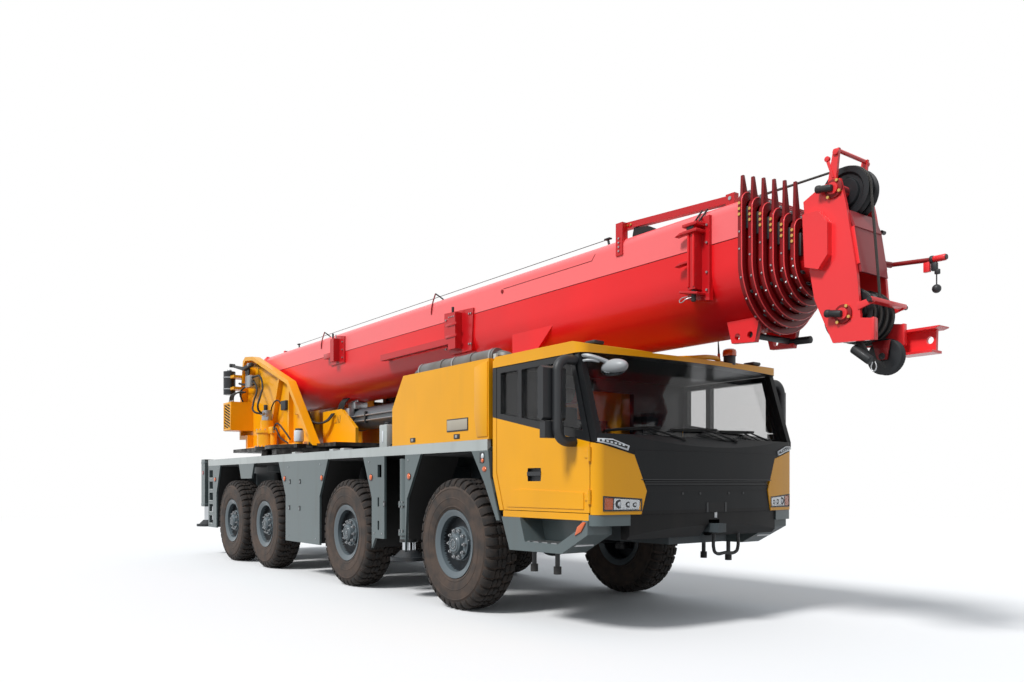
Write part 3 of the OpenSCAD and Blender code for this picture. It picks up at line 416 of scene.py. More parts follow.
WHEEL_RADIUS = first_tyre[1].z / 2
TYRE_HALF = (first_tyre[1].y - first_tyre[0].y) / 2
WHEEL_OUT = (first_tyre[1].y + first_tyre[0].y) / 2
AXLES = [middle_of(f"tyre_{number}l").x for number in (1, 2, 3, 4)]
WHEELS = [(axle, name, side) for axle in range(4) for name, side in (("l", 1), ("r", -1))]
TURN_BY_AXLE = 0.31
TURN_BY_SIDE = 0.17
BEAD_RADIUS = 0.302
LUG_COUNT = 38
LUG_DEPTH = 0.024
SIDEWALL_COLOUR = srgb(80, 67, 59)
SIDEWALL_CLEAN = srgb(50, 45, 42)
TREAD_COLOUR = srgb(22, 21, 21)
sidewall = Finish("tyre_sidewall")
dust = sidewall.limits(sidewall.speckle(7.0, 6.0), 0.34, 0.62)
sidewall.set(base_color=sidewall.blend(dust, SIDEWALL_CLEAN, SIDEWALL_COLOUR), roughness=0.82 + 0.1 * dust,
             normal=sidewall.grain(sidewall.speckle(160.0), 0.0015))
tread = Finish("tyre_tread")
scuff = tread.limits(tread.speckle(14.0, 5.0), 0.35, 0.7)
tread.set(base_color=tread.blend(scuff, TREAD_COLOUR, tint(SIDEWALL_COLOUR, 0.4)), roughness=0.88,
          normal=tread.grain(tread.speckle(120.0), 0.002))


def tyre_shape():
    """A left tyre with its middle at the origin, its axle along Y."""
    r, w = WHEEL_RADIUS, TYRE_HALF
    crown = r - LUG_DEPTH
    side = [(BEAD_RADIUS, 0.138), (0.318, 0.148), (0.360, 0.158), (0.366, 0.168), (0.382, 0.175),
            (0.386, 0.180), (0.394, 0.1805), (0.398, 0.1775), (0.430, w - 0.006), (0.470, w - 0.0035),
            (0.474, w), (0.482, w), (0.486, w - 0.003), (0.540, w - 0.003), (0.572, w - 0.006),
            (0.576, w - 0.002), (0.584, w - 0.003), (0.588, w - 0.008), (0.616, w - 0.018),
            (0.640, w - 0.036), (crown - 0.006, w - 0.07), (crown, w - 0.1)]
    far = [(radius, -along) for radius, along in reversed(side)]
    inside = [(BEAD_RADIUS, -0.10), (0.36, -0.12), (0.48, -0.15), (r - 0.05, -0.1), (r - 0.05, 0.1),
              (0.48, 0.15), (0.36, 0.12), (BEAD_RADIUS, 0.10)]
    shape = Shape()
    shape.lathe(side + far + inside, (0, 0, 0), (0, 1, 0), sidewall, steps=96, closed=True)
    lugs = Shape()
    half_pitch = math.pi * r / LUG_COUNT
    shoulder = [(0.088, r), (w - 0.078, r), (w - 0.044, r - 0.010), (w - 0.024, r - 0.028),
                (w - 0.0105, r - 0.052), (w - 0.0085, r - 0.082), (w - 0.022, r - 0.084), (0.096, r - 0.04)]
    lugs.plate(shoulder, "yz", -half_pitch * 0.68, half_pitch * 0.68, tread, bevel=0.004)
    lugs.plate([(-half_pitch * 0.75, 0.036), (half_pitch * 0.45, 0.030), (half_pitch * 0.75, 0.056),
                (half_pitch * 0.55, 0.078), (-half_pitch * 0.5, 0.080), (-half_pitch * 0.85, 0.058)],
               "xy", r - 0.04, r, tread, bevel=0.003)
    far_side = lugs.placed(Matrix.Rotation(math.pi, 4, "Z") @ Matrix.Rotation(math.pi / LUG_COUNT, 4, "Y"))
    lugs.join(far_side)
    lugs.plate([(-half_pitch * 0.7, -0.018), (-half_pitch * 0.1, -0.027), (half_pitch * 0.75, -0.020),
                (half_pitch * 0.6, 0.020), (half_pitch * 0.05, 0.028), (-half_pitch * 0.8, 0.018)],
               "xy", r - 0.04, r, tread, bevel=0.003)
    lugs.around(LUG_COUNT, (0, 0, 0), (0, 1, 0))
    shape.join(lugs)
    return shape


def wheel_place(axle, side):
    """From a wheel's own frame to its place; side is 1 on the left and -1 on the right."""
    mirrored = Matrix.Scale(side, 4, (0, 1, 0))
    return Matrix.Translation((AXLES[axle], side * WHEEL_OUT, WHEEL_RADIUS)) @ mirrored


one_tyre = tyre_shape()
for axle, name, side in WHEELS:
    turn = Matrix.Rotation(TURN_BY_AXLE * axle + TURN_BY_SIDE * side, 4, "Y")
    copy = one_tyre.placed(wheel_place(axle, side) @ turn)
    made = copy.into(f"treaded_tyre_{axle + 1}{name}", f"wheel_{axle + 1}{name}", "tyre")
    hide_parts(f"tyre_{axle + 1}{name}")
one_tyre.mesh.free()

# Rims and hubs
# Steel rims in blue-grey paint: a deep dish, ten wheel nuts round the planetary hub and a hub cover
# that is bolted on. The rolled flange holds the tyre's bead; the dish inside it is painted darker, a painted
# shade.


ROAD_GRIME = (0.11, 0.09, 0.075, 1.0)
PEEL_DEPTH = 0.0004
SOFT_EDGE = 0.004


def paint(name, colour, roughness=0.32, dirt=0.12, coat=0.25, second=None, where=None):
    """Sprayed paint: faint patches, run-down dirt, a fine peel and softened edges. where(finish) may name
    a second colour's share."""
    finish = Finish(name)
    patches = finish.limits(finish.speckle(1.1, 2.0), 0.3, 0.7)
    runs = finish.limits(finish.speckle(5.0, 5.0, stretch=(1.0, 1.0, 0.16)), 0.52, 0.8)
    base = finish.blend(patches, tint(colour, 0.93), tint(colour, 1.05))
    if second is not None:
        base = finish.blend(where(finish), base, second)
    grime = runs * dirt
    shade = finish.blend(grime, base, ROAD_GRIME)
    rounded = finish.node("ShaderNodeBevel", {"samples": 3}, {"Radius": SOFT_EDGE})
    peel = finish.node("ShaderNodeBump", None, {"Height": finish.speckle(90.0, 2.0), "Distance": PEEL_DEPTH,
                                                "Normal": rounded}, "Normal")
    finish.set(base_color=shade, roughness=roughness + 0.22 * grime + 0.05 * patches, coat_weight=coat,
               coat_roughness=0.12, specular_ior_level=0.3, normal=peel)
    return finish


def dress(node, *finishes, choose=None):
    """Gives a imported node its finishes; choose(middle, normal) picks one for each face by number."""
    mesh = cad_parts[node].data
    mesh.materials.clear()
    for finish in finishes:
        mesh.materials.append(finish.material)
    for face in mesh.polygons:
        middle = face.center - Vector((FRONT_AXLE, 0, 0))
        face.material_index = choose(middle, face.normal) if choose else 0


RIM_COLOUR = srgb(92, 102, 107)
# The darker paint of the dish: a painted shade.
RIM_PAINTED_SHADE = srgb(36, 40, 44)
DISH_FROM = 0.18
DISH_TO = 0.292
DISH_FACE = 0.10
HUB_BOLTS = 12
HUB_CIRCLE = 0.047
NUT_COUNT = 10
NUT_CIRCLE = 0.142
HUB_TURN = 0.7
rim_paint = paint("rim_paint", RIM_COLOUR, roughness=0.36, dirt=0.35)
rim_shadow = paint("rim_dish_painted_shade", RIM_PAINTED_SHADE, roughness=0.5, dirt=0.3, coat=0.05)
bolt_steel = Finish("zinc_plated_steel")
bolt_steel.set(base_color=bolt_steel.blend(bolt_steel.speckle(40.0), srgb(150, 152, 154),
                                           srgb(178, 180, 182)), metallic=0.85, roughness=0.38)


def rim_choice(axle_x):
    """The dish is painted darker as painted shade; its flange and the hub keep the lighter paint."""
    def choose(middle, normal):
        reach = math.hypot(middle.x - axle_x, middle.z - WHEEL_RADIUS)
        return 1 if DISH_FROM < reach < DISH_TO and abs(middle.y) < WHEEL_OUT + DISH_FACE else 0
    return choose


hub = Shape()
hub.bolt_circle("y", (0, 0), HUB_CIRCLE, 0.160, 0.182, 0.0075, HUB_BOLTS)
nuts = Shape()
nuts.pin("y", (NUT_CIRCLE, 0), 0.100, 0.142, 0.021, bolt_steel, sides=6, bevel=0.003)
nuts.pin("y", (NUT_CIRCLE, 0), 0.140, 0.158, 0.012, bolt_steel, sides=10, bevel=0.003)
nuts.around(NUT_COUNT, (0, 0, 0), (0, 1, 0))
hub.join(nuts)
hub.lathe([(0.0, 0.176), (0.028, 0.176), (0.034, 0.170), (0.034, 0.160)], (0, 0, 0), (0, 1, 0), rim_paint)
hub.lathe([(0.066, 0.158), (0.066, 0.1745), (0.070, 0.1765), (0.080, 0.1765), (0.0845, 0.172),
           (0.0845, 0.158)], (0, 0, 0), (0, 1, 0), rim_paint, steps=40)
hub.pipe([(0.255, 0.060, 0.05), (0.262, 0.12, 0.05), (0.275, 0.168, 0.052)], 0.006, bolt_steel)
for axle, name, side in WHEELS:
    dress(f"rim_{axle + 1}{name}", rim_paint, rim_shadow, choose=rim_choice(AXLES[axle]))
    place = wheel_place(axle, side) @ Matrix.Rotation(HUB_TURN * axle, 4, "Y")
    hub.placed(place).into(f"hub_bolts_{axle + 1}{name}", f"wheel_{axle + 1}{name}", "rim_grey")
hub.mesh.free()

# Axles, struts and steering
# Four steered drive axles: cast banjo housings in satin black between forged knuckles, each hung on two
# hydropneumatic struts with bright rods. Cardan shafts join the housings; brake cans sit behind them.

black_paint = paint("satin_black", srgb(34, 36, 38), roughness=0.48, dirt=0.3, coat=0.05)
chrome = Finish("chromed_steel")
chrome.set(base_color=chrome.blend(chrome.speckle(3.0, 4.0), srgb(176, 180, 184), srgb(206, 209, 212)),
           metallic=1.0, roughness=0.14)
STRUT_Y = 0.54
STRUT_ROD = 0.05
STRUT_FROM = WHEEL_RADIUS + 0.11
STRUT_TO = WHEEL_RADIUS + 0.32
BRAKE_Y = 0.72
BRAKE_Z = 0.66


def axle_choice(middle, normal):
    """1 for the chromed rods of the struts."""
    near = min(math.hypot(middle.x - station, abs(middle.y) - STRUT_Y) for station in AXLES)
    return 1 if near < STRUT_ROD and STRUT_FROM < middle.z < STRUT_TO else 0


dress("axles", black_paint, chrome, choose=axle_choice)
driveline = Shape()
for rear, front in zip(AXLES[1:], AXLES):
    driveline.pin("x", (0, WHEEL_RADIUS), rear + 0.26, front - 0.26, 0.055, black_paint, bevel=0.004)
    for joint in (rear + 0.30, front - 0.30):
        driveline.pin("x", (0, WHEEL_RADIUS), joint - 0.045, joint + 0.045, 0.10, bolt_steel, bevel=0.006)
brakes = Shape()
for station in AXLES:
    for start, end, radius, finish, edge in ((-0.30, -0.16, 0.085, black_paint, 0.012),
                                             (-0.16, -0.06, 0.022, bolt_steel, 0.0),
                                             (-0.235, -0.225, 0.093, bolt_steel, 0.0)):
        brakes.pin("x", (BRAKE_Y, BRAKE_Z), station + start, station + end, radius, finish, bevel=edge)
brakes.mirror()
driveline.join(brakes)
driveline.into("driveline", "carrier", "dark_metal")
for axle, name, side in WHEELS:
    dress(f"knuckle_{axle + 1}{name}", black_paint)

# Box frame and slewing ring
# A welded box frame in dark grey paint with the outrigger tunnels across it, and a toothed slewing ring of
# bare, greased steel that is bolted down on it. Lamps and a coupling close the rear end.

FRAME_GREY = srgb(66, 73, 76)
frame_paint = paint("frame_paint", FRAME_GREY, roughness=0.5, dirt=0.4, coat=0.05)
grease = Finish("greased_steel")
smear = grease.limits(grease.speckle(9.0, 5.0), 0.38, 0.66)
grease.set(base_color=grease.blend(smear, srgb(58, 56, 54), srgb(24, 22, 20)), metallic=0.7,
           roughness=0.28 + 0.3 * smear, normal=grease.grain(grease.speckle(60.0), 0.001))
dress("chassis_frame", frame_paint)
dress("slewing_ring", grease)
SLEW_X = middle_of("slewing_ring").x
RING_BOLTS = 60
RING_CIRCLE = 0.985
FRAME_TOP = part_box("slewing_ring")[0].z
ring_bolts = Shape()
ring_bolts.bolt_circle("z", (SLEW_X, 0), RING_CIRCLE, FRAME_TOP + 0.045, FRAME_TOP + 0.072, 0.017,
                       RING_BOLTS)
ring_bolts.into("ring_bolts", "carrier", "dark_metal")

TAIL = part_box("chassis_frame")[0].x - FRONT_AXLE
red_lens = Finish("red_lamp_lens")
red_lens.set(base_color=srgb(150, 14, 18), roughness=0.12, coat_weight=0.6, coat_roughness=0.05)
amber_lens = Finish("amber_lamp_lens")
amber_lens.set(base_color=srgb(222, 96, 26), roughness=0.14, coat_weight=0.6, coat_roughness=0.05)
clear_lens = Finish("clear_lamp_lens")
clear_lens.set(base_color=srgb(214, 220, 224), roughness=0.08, coat_weight=0.8, coat_roughness=0.03)
black_plastic = Finish("black_plastic")
black_plastic.set(base_color=black_plastic.blend(black_plastic.speckle(2.0, 3.0), srgb(26, 28, 30),
                                                 srgb(38, 40, 43)), roughness=0.5,
                  normal=black_plastic.grain(black_plastic.speckle(420.0, 2.0), 0.0004))
tail = Shape()
tail.block((TAIL + 0.006, 0.50, 1.062), (TAIL + 0.05, 0.84, 1.135), black_plastic, bevel=0.008)
for start, end, lens in ((0.515, 0.60, red_lens), (0.61, 0.69, amber_lens), (0.70, 0.76, clear_lens),
                         (0.77, 0.825, red_lens)):
    tail.block((TAIL + 0.001, start, 1.072), (TAIL + 0.012, end, 1.125), lens, bevel=0.004)
tail.block((TAIL + 0.001, 0.30, 1.078), (TAIL + 0.012, 0.42, 1.118), red_lens, bevel=0.004)
tail.mirror()
tail.block((TAIL + 0.02, -0.10, 1.03), (TAIL + 0.30, 0.10, 1.12), black_paint, bevel=0.012)
tail.pin("z", (TAIL + 0.05, 0), 1.0, 1.14, 0.024, chrome, bevel=0.004)
tail.into("tail_lamps", "carrier", "trim")

# Deck and side panels
# Folded sheet on the frame in two greys: a pale rail along the edge, mid-grey panels between the wheels and
# a trodden deck of chequer plate. Undersides carry black sealer and rubber aprons hang in the arches; their
# black is partly painted shade that darkens the arches.

PANEL_GREY = srgb(94, 105, 106)
RAIL_GREY = srgb(178, 184, 182)
panel_paint = paint("panel_grey", PANEL_GREY, roughness=0.36, dirt=0.22)
rail_paint = paint("rail_grey", RAIL_GREY, roughness=0.38, dirt=0.2)
sealer_and_shade = Finish("black_sealer_and_shade")
sealer_and_shade.set(base_color=sealer_and_shade.blend(sealer_and_shade.speckle(5.0), srgb(14, 14, 15), srgb(26, 26, 27)), roughness=0.85)
rubber = Finish("black_rubber")
rubber.set(base_color=rubber.blend(rubber.speckle(6.0), srgb(22, 22, 23), srgb(36, 35, 34)), roughness=0.7)
chequer = Finish("chequer_plate")
spots = chequer.node("ShaderNodeTexVoronoi", {"distance": "MANHATTAN"},
                     {"Vector": chequer.place, "Scale": 26.0})
raised = chequer.limits(spots, 0.42, 0.30)
chequer.set(base_color=chequer.blend(raised, tint(PANEL_GREY, 0.72), tint(PANEL_GREY, 1.0)),
            roughness=0.5 - 0.12 * raised, normal=chequer.grain(raised, 0.004))
DECK_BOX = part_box("deck")
SIDE = DECK_BOX[1].y
DECK_TOP = DECK_BOX[1].z
DECK_REAR = DECK_BOX[0].x - FRONT_AXLE
RAIL_WIDTH = 0.046
RAIL_FRONT = 0.66
ARCH_FRONT = 0.9


def deck_shade_choice(middle, normal):
    """1 for the pale rail, 2 for the trodden plate, 3 for what faces down or inward in the arches, black
    sealer that is partly painted shade.
    """
    reach = abs(middle.y)
    if middle.z > FRAME_TOP + 0.001 and reach > SIDE - RAIL_WIDTH and middle.x < RAIL_FRONT:
        return 1
    if normal.z > 0.9 and FRAME_TOP < middle.z < DECK_TOP - 0.02:
        return 2
    inward = normal.y * middle.y < 0 and abs(normal.y) > 0.7 and reach <= SIDE - 0.001
    return 3 if middle.x < ARCH_FRONT and (normal.z < -0.7 or inward) else 0


dress("deck", panel_paint, rail_paint, chequer, sealer_and_shade, choose=deck_shade_choice)
fittings = Shape()
MARKERS = ((-4.56, 1.388), (-3.246, 1.391), (-1.807, 1.389), (-0.883, 1.395), (-7.84, 1.39))
for station, height in MARKERS:
    fittings.pin("y", (station, height), SIDE - 0.004, SIDE + 0.006, 0.042, black_plastic, sides=24)
    fittings.ball((station, SIDE + 0.004, height), (0.036, 0.016, 0.036), amber_lens)
LATCHES = ((-4.362, 1.345), (-3.992, 1.347), (-4.382, 0.967), (-4.005, 0.965), (-1.466, 1.077))
for station, height in LATCHES:
    fittings.block((station - 0.026, SIDE - 0.004, height - 0.034),
                   (station + 0.026, SIDE + 0.007, height + 0.034), black_plastic, bevel=0.006)
    fittings.block((station - 0.008, SIDE + 0.002, height - 0.024),
                   (station + 0.008, SIDE + 0.012, height + 0.012), bolt_steel, bevel=0.003)
PANEL_BOLTS = ((-4.43, 0.56), (-3.45, 0.56), (-4.43, 1.56), (-3.30, 1.58), (-1.72, 0.72), (-1.53, 0.72),
               (-1.86, 1.58), (-0.90, 1.58), (-8.20, 0.58), (-7.82, 0.58), (-8.20, 1.58), (-7.66, 1.58))
for station, height in PANEL_BOLTS:
    fittings.bolt("y", (station, height), SIDE - 0.002, SIDE + 0.005, 0.011)
# The lamps on the post before the cab, and the amber one at the front end of the step
fittings.block((0.515, SIDE - 0.02, 1.515), (0.60, SIDE + 0.006, 1.625), black_plastic, bevel=0.01)
fittings.ball((0.575, SIDE + 0.006, 1.585), (0.022, 0.012, 0.028), clear_lens)
fittings.ball((0.573, SIDE + 0.006, 1.540), (0.022, 0.012, 0.022), amber_lens)
fittings.ball((0.600, SIDE + 0.002, 1.456), (0.036, 0.014, 0.026), amber_lens)
fittings.plate([(1.955, 0.868), (2.035, 0.905), (2.095, 0.985), (2.06, 0.99), (1.99, 0.945)], "xz",
               SIDE - 0.004, SIDE + 0.012, amber_lens, bevel=0.004)
# A black sheet at the edge of the front arch, partly painted shade.
fittings.plate([(0.655, 1.635), (0.705, 1.635), (0.705, 1.34), (0.87, 0.945), (0.80, 0.945), (0.655, 1.33)],
               "xz", SIDE - 0.03, SIDE - 0.012, sealer_and_shade)
fittings.mirror()
fittings.into("panel_fittings", "carrier", "trim")

# Aprons hang from the deck behind each panel edge and close the arch towards the frame; with the black
# sheets under the deck they are partly real aprons and partly painted shade in the arches.
aprons_and_shade = Shape()
APRON_IN = 0.50
APRON_OUT = SIDE - 0.032
APRON_BEND = 1.145
APRON_TOP = FRAME_TOP - 0.01
APRON_THICK = 0.008
for station in AXLES:
    aprons_and_shade.block((station - 0.74, APRON_IN, FRAME_TOP - 0.020),
                 (station + 0.74, APRON_OUT, FRAME_TOP - 0.004), sealer_and_shade)
for axle, foot, level, top in ((2, 0.935, 0.50, 0.66), (1, -0.785, 0.50, -0.52), (1, 0.775, 0.54, 0.55),
                               (0, -0.945, 0.68, -0.65), (3, -0.785, 0.54, -0.58)):
    foot_x = AXLES[axle] + foot
    top_x = AXLES[axle] + top
    thick = APRON_THICK if foot > top else -APRON_THICK
    aprons_and_shade.plate([(foot_x, level), (foot_x, APRON_BEND), (top_x, APRON_TOP), (top_x + thick, APRON_TOP),
                  (foot_x + thick, APRON_BEND), (foot_x + thick, level)], "xz", APRON_IN + 0.35, APRON_OUT,
                 rubber)
aprons_and_shade.mirror()
aprons_and_shade.into("arch_aprons_and_shade", "carrier", "black_plastic")

# Treads of the cab step and the tail ladder: pressed strips with a rolled front edge
treads = Shape()
for number in range(6):
    station = 1.20 + 0.13 * number
    treads.block((station, SIDE - 0.235, 0.770), (station + 0.08, SIDE - 0.03, 0.786), bolt_steel,
                 bevel=0.003)
for number in range(5):
    rung = 0.592 + 0.205 * number
    treads.block((DECK_REAR + 0.075, SIDE - 0.030, rung), (DECK_REAR + 0.270, SIDE + 0.004, rung + 0.014),
                 rail_paint, bevel=0.003)
for station in (1.17, 1.51):
    treads.pin("z", (station, 1.20), 0.50, 0.72, 0.022, black_plastic)
    treads.pin("z", (station, 1.20), 0.49, 0.56, 0.036, rubber)
treads.mirror()
treads.into("step_treads", "carrier", "trim")

# Engine and its covers
# A cast engine between the frame walls under two covers of yellow sheet, folded and hung on hinges. The
# silencer of grey heat-proof steel lies in straps on the right cover and blows out to the rear.

CRANE_YELLOW = srgb(242, 168, 8)
crane_yellow = paint("crane_yellow", CRANE_YELLOW, roughness=0.34, dirt=0.08, coat=0.12)
casting = paint("engine_casting", srgb(70, 72, 74), roughness=0.6, dirt=0.4, coat=0.0)
silencer = Finish("silencer_steel")
heat = silencer.limits(silencer.speckle(3.0, 4.0), 0.35, 0.7)
silencer.set(base_color=silencer.blend(heat, srgb(122, 124, 124), srgb(96, 92, 86)), metallic=0.55,
             roughness=0.42 + 0.15 * heat)
COVER_TOP = 2.54
COVER_OUT = SIDE - 0.002
SHEET_IN = 1.2
SILENCER_Y = -0.95
SILENCER_Z = 2.648
OUTLET_RADIUS = 0.052


def cover_choice(middle, normal):
    """1 for the silencer, 2 for the inside of the sheet."""
    if middle.z > COVER_TOP + 0.002:
        return 1
    return 2 if normal.y * middle.y < 0 and abs(middle.y) > SHEET_IN and abs(normal.y) > 0.7 else 0


dress("engine", casting)
dress("engine_cover", crane_yellow, silencer, sealer_and_shade, choose=cover_choice)
covers = Shape()
covers.plate([(0.43, 1.975), (0.475, 1.775), (0.655, 1.775), (0.655, 2.515), (0.43, 2.475)], "xz",
             COVER_OUT - 0.004, COVER_OUT + 0.012, crane_yellow, bevel=0.009)
blank_plate = paint("bare_plate", srgb(176, 168, 152), roughness=0.4, dirt=0.1, coat=0.1)
covers.block((-0.09, COVER_OUT - 0.004, 1.852), (0.31, COVER_OUT + 0.006, 1.985), black_plastic,
             bevel=0.004)
covers.block((-0.078, COVER_OUT, 1.864), (0.298, COVER_OUT + 0.009, 1.973), blank_plate, bevel=0.003)
for station in (-0.95, -0.35, 0.25):
    covers.pin("x", (0.44, COVER_TOP + 0.010), station - 0.06, station + 0.06, 0.013, bolt_steel,
               bevel=0.002)
    covers.block((station - 0.05, 0.44, COVER_TOP - 0.001), (station + 0.05, 0.52, COVER_TOP + 0.006),
                 crane_yellow, bevel=0.002)
for station in (-0.80, 0.10):
    covers.block((station - 0.055, COVER_OUT - 0.004, 1.775), (station + 0.055, COVER_OUT + 0.008, 1.825),
                 black_plastic, bevel=0.006)
    covers.block((station - 0.020, COVER_OUT + 0.004, 1.785), (station + 0.020, COVER_OUT + 0.014, 1.815),
                 bolt_steel, bevel=0.004)
covers.mirror()
covers.pipe([(-1.25, SILENCER_Y, SILENCER_Z), (-1.34, SILENCER_Y, SILENCER_Z), (-1.42, SILENCER_Y, 2.60),
             (-1.45, SILENCER_Y, 2.50)], OUTLET_RADIUS, silencer, sides=3)
covers.pipe([(0.24, SILENCER_Y, SILENCER_Z), (0.33, SILENCER_Y, SILENCER_Z), (0.38, -0.90, 2.62),
             (0.39, -0.84, 2.53)], OUTLET_RADIUS, silencer, sides=3)
covers.block((0.26, -1.03, 2.535), (0.31, -0.87, 2.665), rail_paint, bevel=0.006)
for station in (-1.24, -0.52, 0.20):
    covers.lathe([(0.0885, -0.012), (0.096, -0.012), (0.096, 0.012), (0.0885, 0.012)],
                 (station, SILENCER_Y, SILENCER_Z), (1, 0, 0), bolt_steel, closed=True)
covers.into("cover_fittings", "carrier", "yellow")

# A grey oil box stands on the deck behind the right cover, with its sight glass and filler cap
tank = Shape()
tank.block((-2.18, -1.07, DECK_TOP - 0.075), (-1.98, -0.93, 2.06), rail_paint, bevel=0.012)
tank.pin("z", (-2.08, -1.0), 2.055, 2.095, 0.038, black_plastic, bevel=0.006)
tank.block((-2.10, -1.076, 1.84), (-2.06, -1.068, 1.98), clear_lens, bevel=0.003)
tank.pipe([(-1.99, -1.0, 1.80), (-1.90, -1.0, 1.78), (-1.82, -0.96, 1.74), (-1.72, -0.92, 1.69)], 0.018,
          rubber)
for station in (-3.05, -2.72, -4.35):
    tank.block((station - 0.06, -1.33, DECK_TOP - 0.002), (station + 0.06, -1.20, DECK_TOP + 0.028),
               rail_paint, bevel=0.008)
tank.into("deck_tank", "carrier", "yellow")

# Driver's cab
# A pressed-steel cab in the crane's yellow with a satin black band round its windows, black plastic front
# panels and a bowed, bonded windscreen. Lamps sit in pockets of the two corner panels.

CAB_NOSE = 2.33
CAB_BOW = 7.0
CAB_CORNER = 0.10
CAB_HALF = 1.36
BEND_STEP = 0.03
BUMPER_TOP = 1.082
BELT_REAR = 1.945
BELT_START = 0.781
BELT_FALL = 0.21
ROOF_LOW = 2.4365
BAND_FRONT = 2.11
BAND_BLACK = srgb(28, 30, 32)
SHELL_IN = 1.29
DOOR_IN = 1.335
ROOF_FLAT = 2.3
SEAT_FRONT = 1.55
SEAT_LOW = 1.30
HANDLE_X = (1.27, 1.475)
HANDLE_Z = (1.33, 1.46)
HANDLE_Y = 1.328
TRIM_Y = 1.373
TRIM_FRONT = 2.05
MIRROR_Y = 1.42
MIRROR_LOW = 1.69


def band_share(inside_y):
    """Share of the black band: above the belt line, under the roof, and all that faces the cab's inside."""
    def where(finish):
        x, z = finish.axis("X"), finish.axis("Z")
        reach = finish.node("ShaderNodeMath", {"operation": "ABSOLUTE"}, {0: finish.axis("Y")})
        over_belt = (z + BELT_FALL * x) > (BELT_REAR + BELT_FALL * (BELT_START + FRONT_AXLE))
        under_roof = z < ROOF_LOW
        within = (reach < inside_y) * (x < BAND_FRONT + FRONT_AXLE) * under_roof
        return finish.limits(over_belt * under_roof + within, 0.0, 1.0)
    return where


def bumper_shade_share(finish):
    """The bumper below the front panel is painted a darker black, a painted shade under the panel."""
    return 1.0 - finish.limits(finish.axis("Z"), BUMPER_TOP - 0.004, BUMPER_TOP + 0.004)


# Painted shade: the darker black of the bumper under the front panel.
BUMPER_SHADE_BLACK = srgb(9, 9, 10)
shell_paint = paint("cab_yellow", CRANE_YELLOW, roughness=0.32, dirt=0.05, coat=0.15, second=BAND_BLACK,
                    where=band_share(SHELL_IN))
door_paint = paint("door_yellow", CRANE_YELLOW, roughness=0.32, dirt=0.05, coat=0.15, second=BAND_BLACK,
                   where=band_share(DOOR_IN))
front_black = paint("front_panel_black", srgb(20, 22, 24), roughness=0.5, dirt=0.06, coat=0.0,
                    second=BUMPER_SHADE_BLACK, where=bumper_shade_share)
front_black.set(specular_ior_level=0.2)
# The roof's flat is painted darker than the cab so that it throws less light up onto the boom: a painted
# shade.
roof_bounce_shade = paint("roof_bounce_shade", tint(CRANE_YELLOW, 0.55), roughness=0.7, dirt=0.4, coat=0.0)
mirror_glass = Finish("mirror_glass")
mirror_glass.set(base_color=srgb(196, 202, 208), metallic=1.0, roughness=0.05)
window = Finish("window_glass")
window.set(base_color=srgb(14, 17, 20), roughness=0.03, specular_ior_level=0.9, alpha=0.18, coat_weight=1.0,
           coat_roughness=0.02)
seat_cloth = Finish("seat_cloth")
weave = seat_cloth.node("ShaderNodeTexNoise", None, {"Vector": seat_cloth.place, "Scale": 300.0})
seat_cloth.set(base_color=seat_cloth.blend(weave, srgb(34, 36, 40), srgb(58, 60, 66)), roughness=0.9,
               normal=seat_cloth.grain(weave, 0.001))


def cab_skin(y):
    """How far forward the cab's skin lies: a bow that runs into round corners."""
    reach = abs(y)
    corner_y = CAB_HALF - CAB_CORNER
    bow_x = CAB_NOSE - CAB_BOW
    corner_x = bow_x + math.sqrt((CAB_BOW - CAB_CORNER) ** 2 - corner_y ** 2)
    if reach <= corner_y * CAB_BOW / (CAB_BOW - CAB_CORNER):
        return bow_x + math.sqrt(CAB_BOW ** 2 - reach ** 2)
    return corner_x + math.sqrt(max(0.0, CAB_CORNER ** 2 - (reach - corner_y) ** 2))


def on_nose(shape, outline, low, high, finish, bevel=0.0):
    """A plate bent over the cab's front: an outline in Y and Z, from low to high off the skin."""
    form = Shape()
    form.plate(outline, "yz", low, high, finish, bevel)
    first = min(y for y, z in outline)
    last = max(y for y, z in outline)
    for step in range(1, int((last - first) / BEND_STEP)):
        cut = (0, first + BEND_STEP * step, 0)
        bmesh.ops.bisect_plane(form.mesh, geom=form.everything(), plane_co=cut, plane_no=(0, 1, 0))
    for vert in form.mesh.verts:
        vert.co.x += cab_skin(vert.co.y)
    shape.join(form)


def strip(shape, left, right, low, high, inner, outer, finish):
    """A straight strip on the cab's front, from inner to outer off the skin."""
    on_nose(shape, [(left, low), (right, low), (right, high), (left, high)], inner, outer, finish)


def roof_choice(middle, normal):
    """1 for the roof's flat, painted darker and duller so that it throws less light onto the boom, a painted
    shade.
    """
    return 1 if normal.z > 0.8 and middle.z > ROOF_FLAT else 0


def interior_choice(middle, normal):
    """1 for the seats."""
    return 1 if middle.x < SEAT_FRONT and middle.z > SEAT_LOW else 0


def door_choice(middle, normal):
    """1 for the handle's pocket and the mirrors' arms, 2 for the mirrors' glass."""
    reach = abs(middle.y)
    if reach > MIRROR_Y and normal.x < -0.9 and middle.z > MIRROR_LOW:
        return 2
    along = HANDLE_X[0] < middle.x < HANDLE_X[1]
    pocket = along and HANDLE_Z[0] < middle.z < HANDLE_Z[1] and reach > HANDLE_Y
    return 1 if pocket or (reach > TRIM_Y and middle.x < TRIM_FRONT) else 0


dress("cab_shell", shell_paint, roof_bounce_shade, choose=roof_choice)
dress("cab_front", front_black)
dress("cab_glass", window)
dress("cab_interior", black_plastic, seat_cloth, choose=interior_choice)
for name in ("l", "r"):
    dress(f"door_{name}", door_paint, black_plastic, mirror_glass, choose=door_choice)
    dress(f"door_glass_{name}", window)

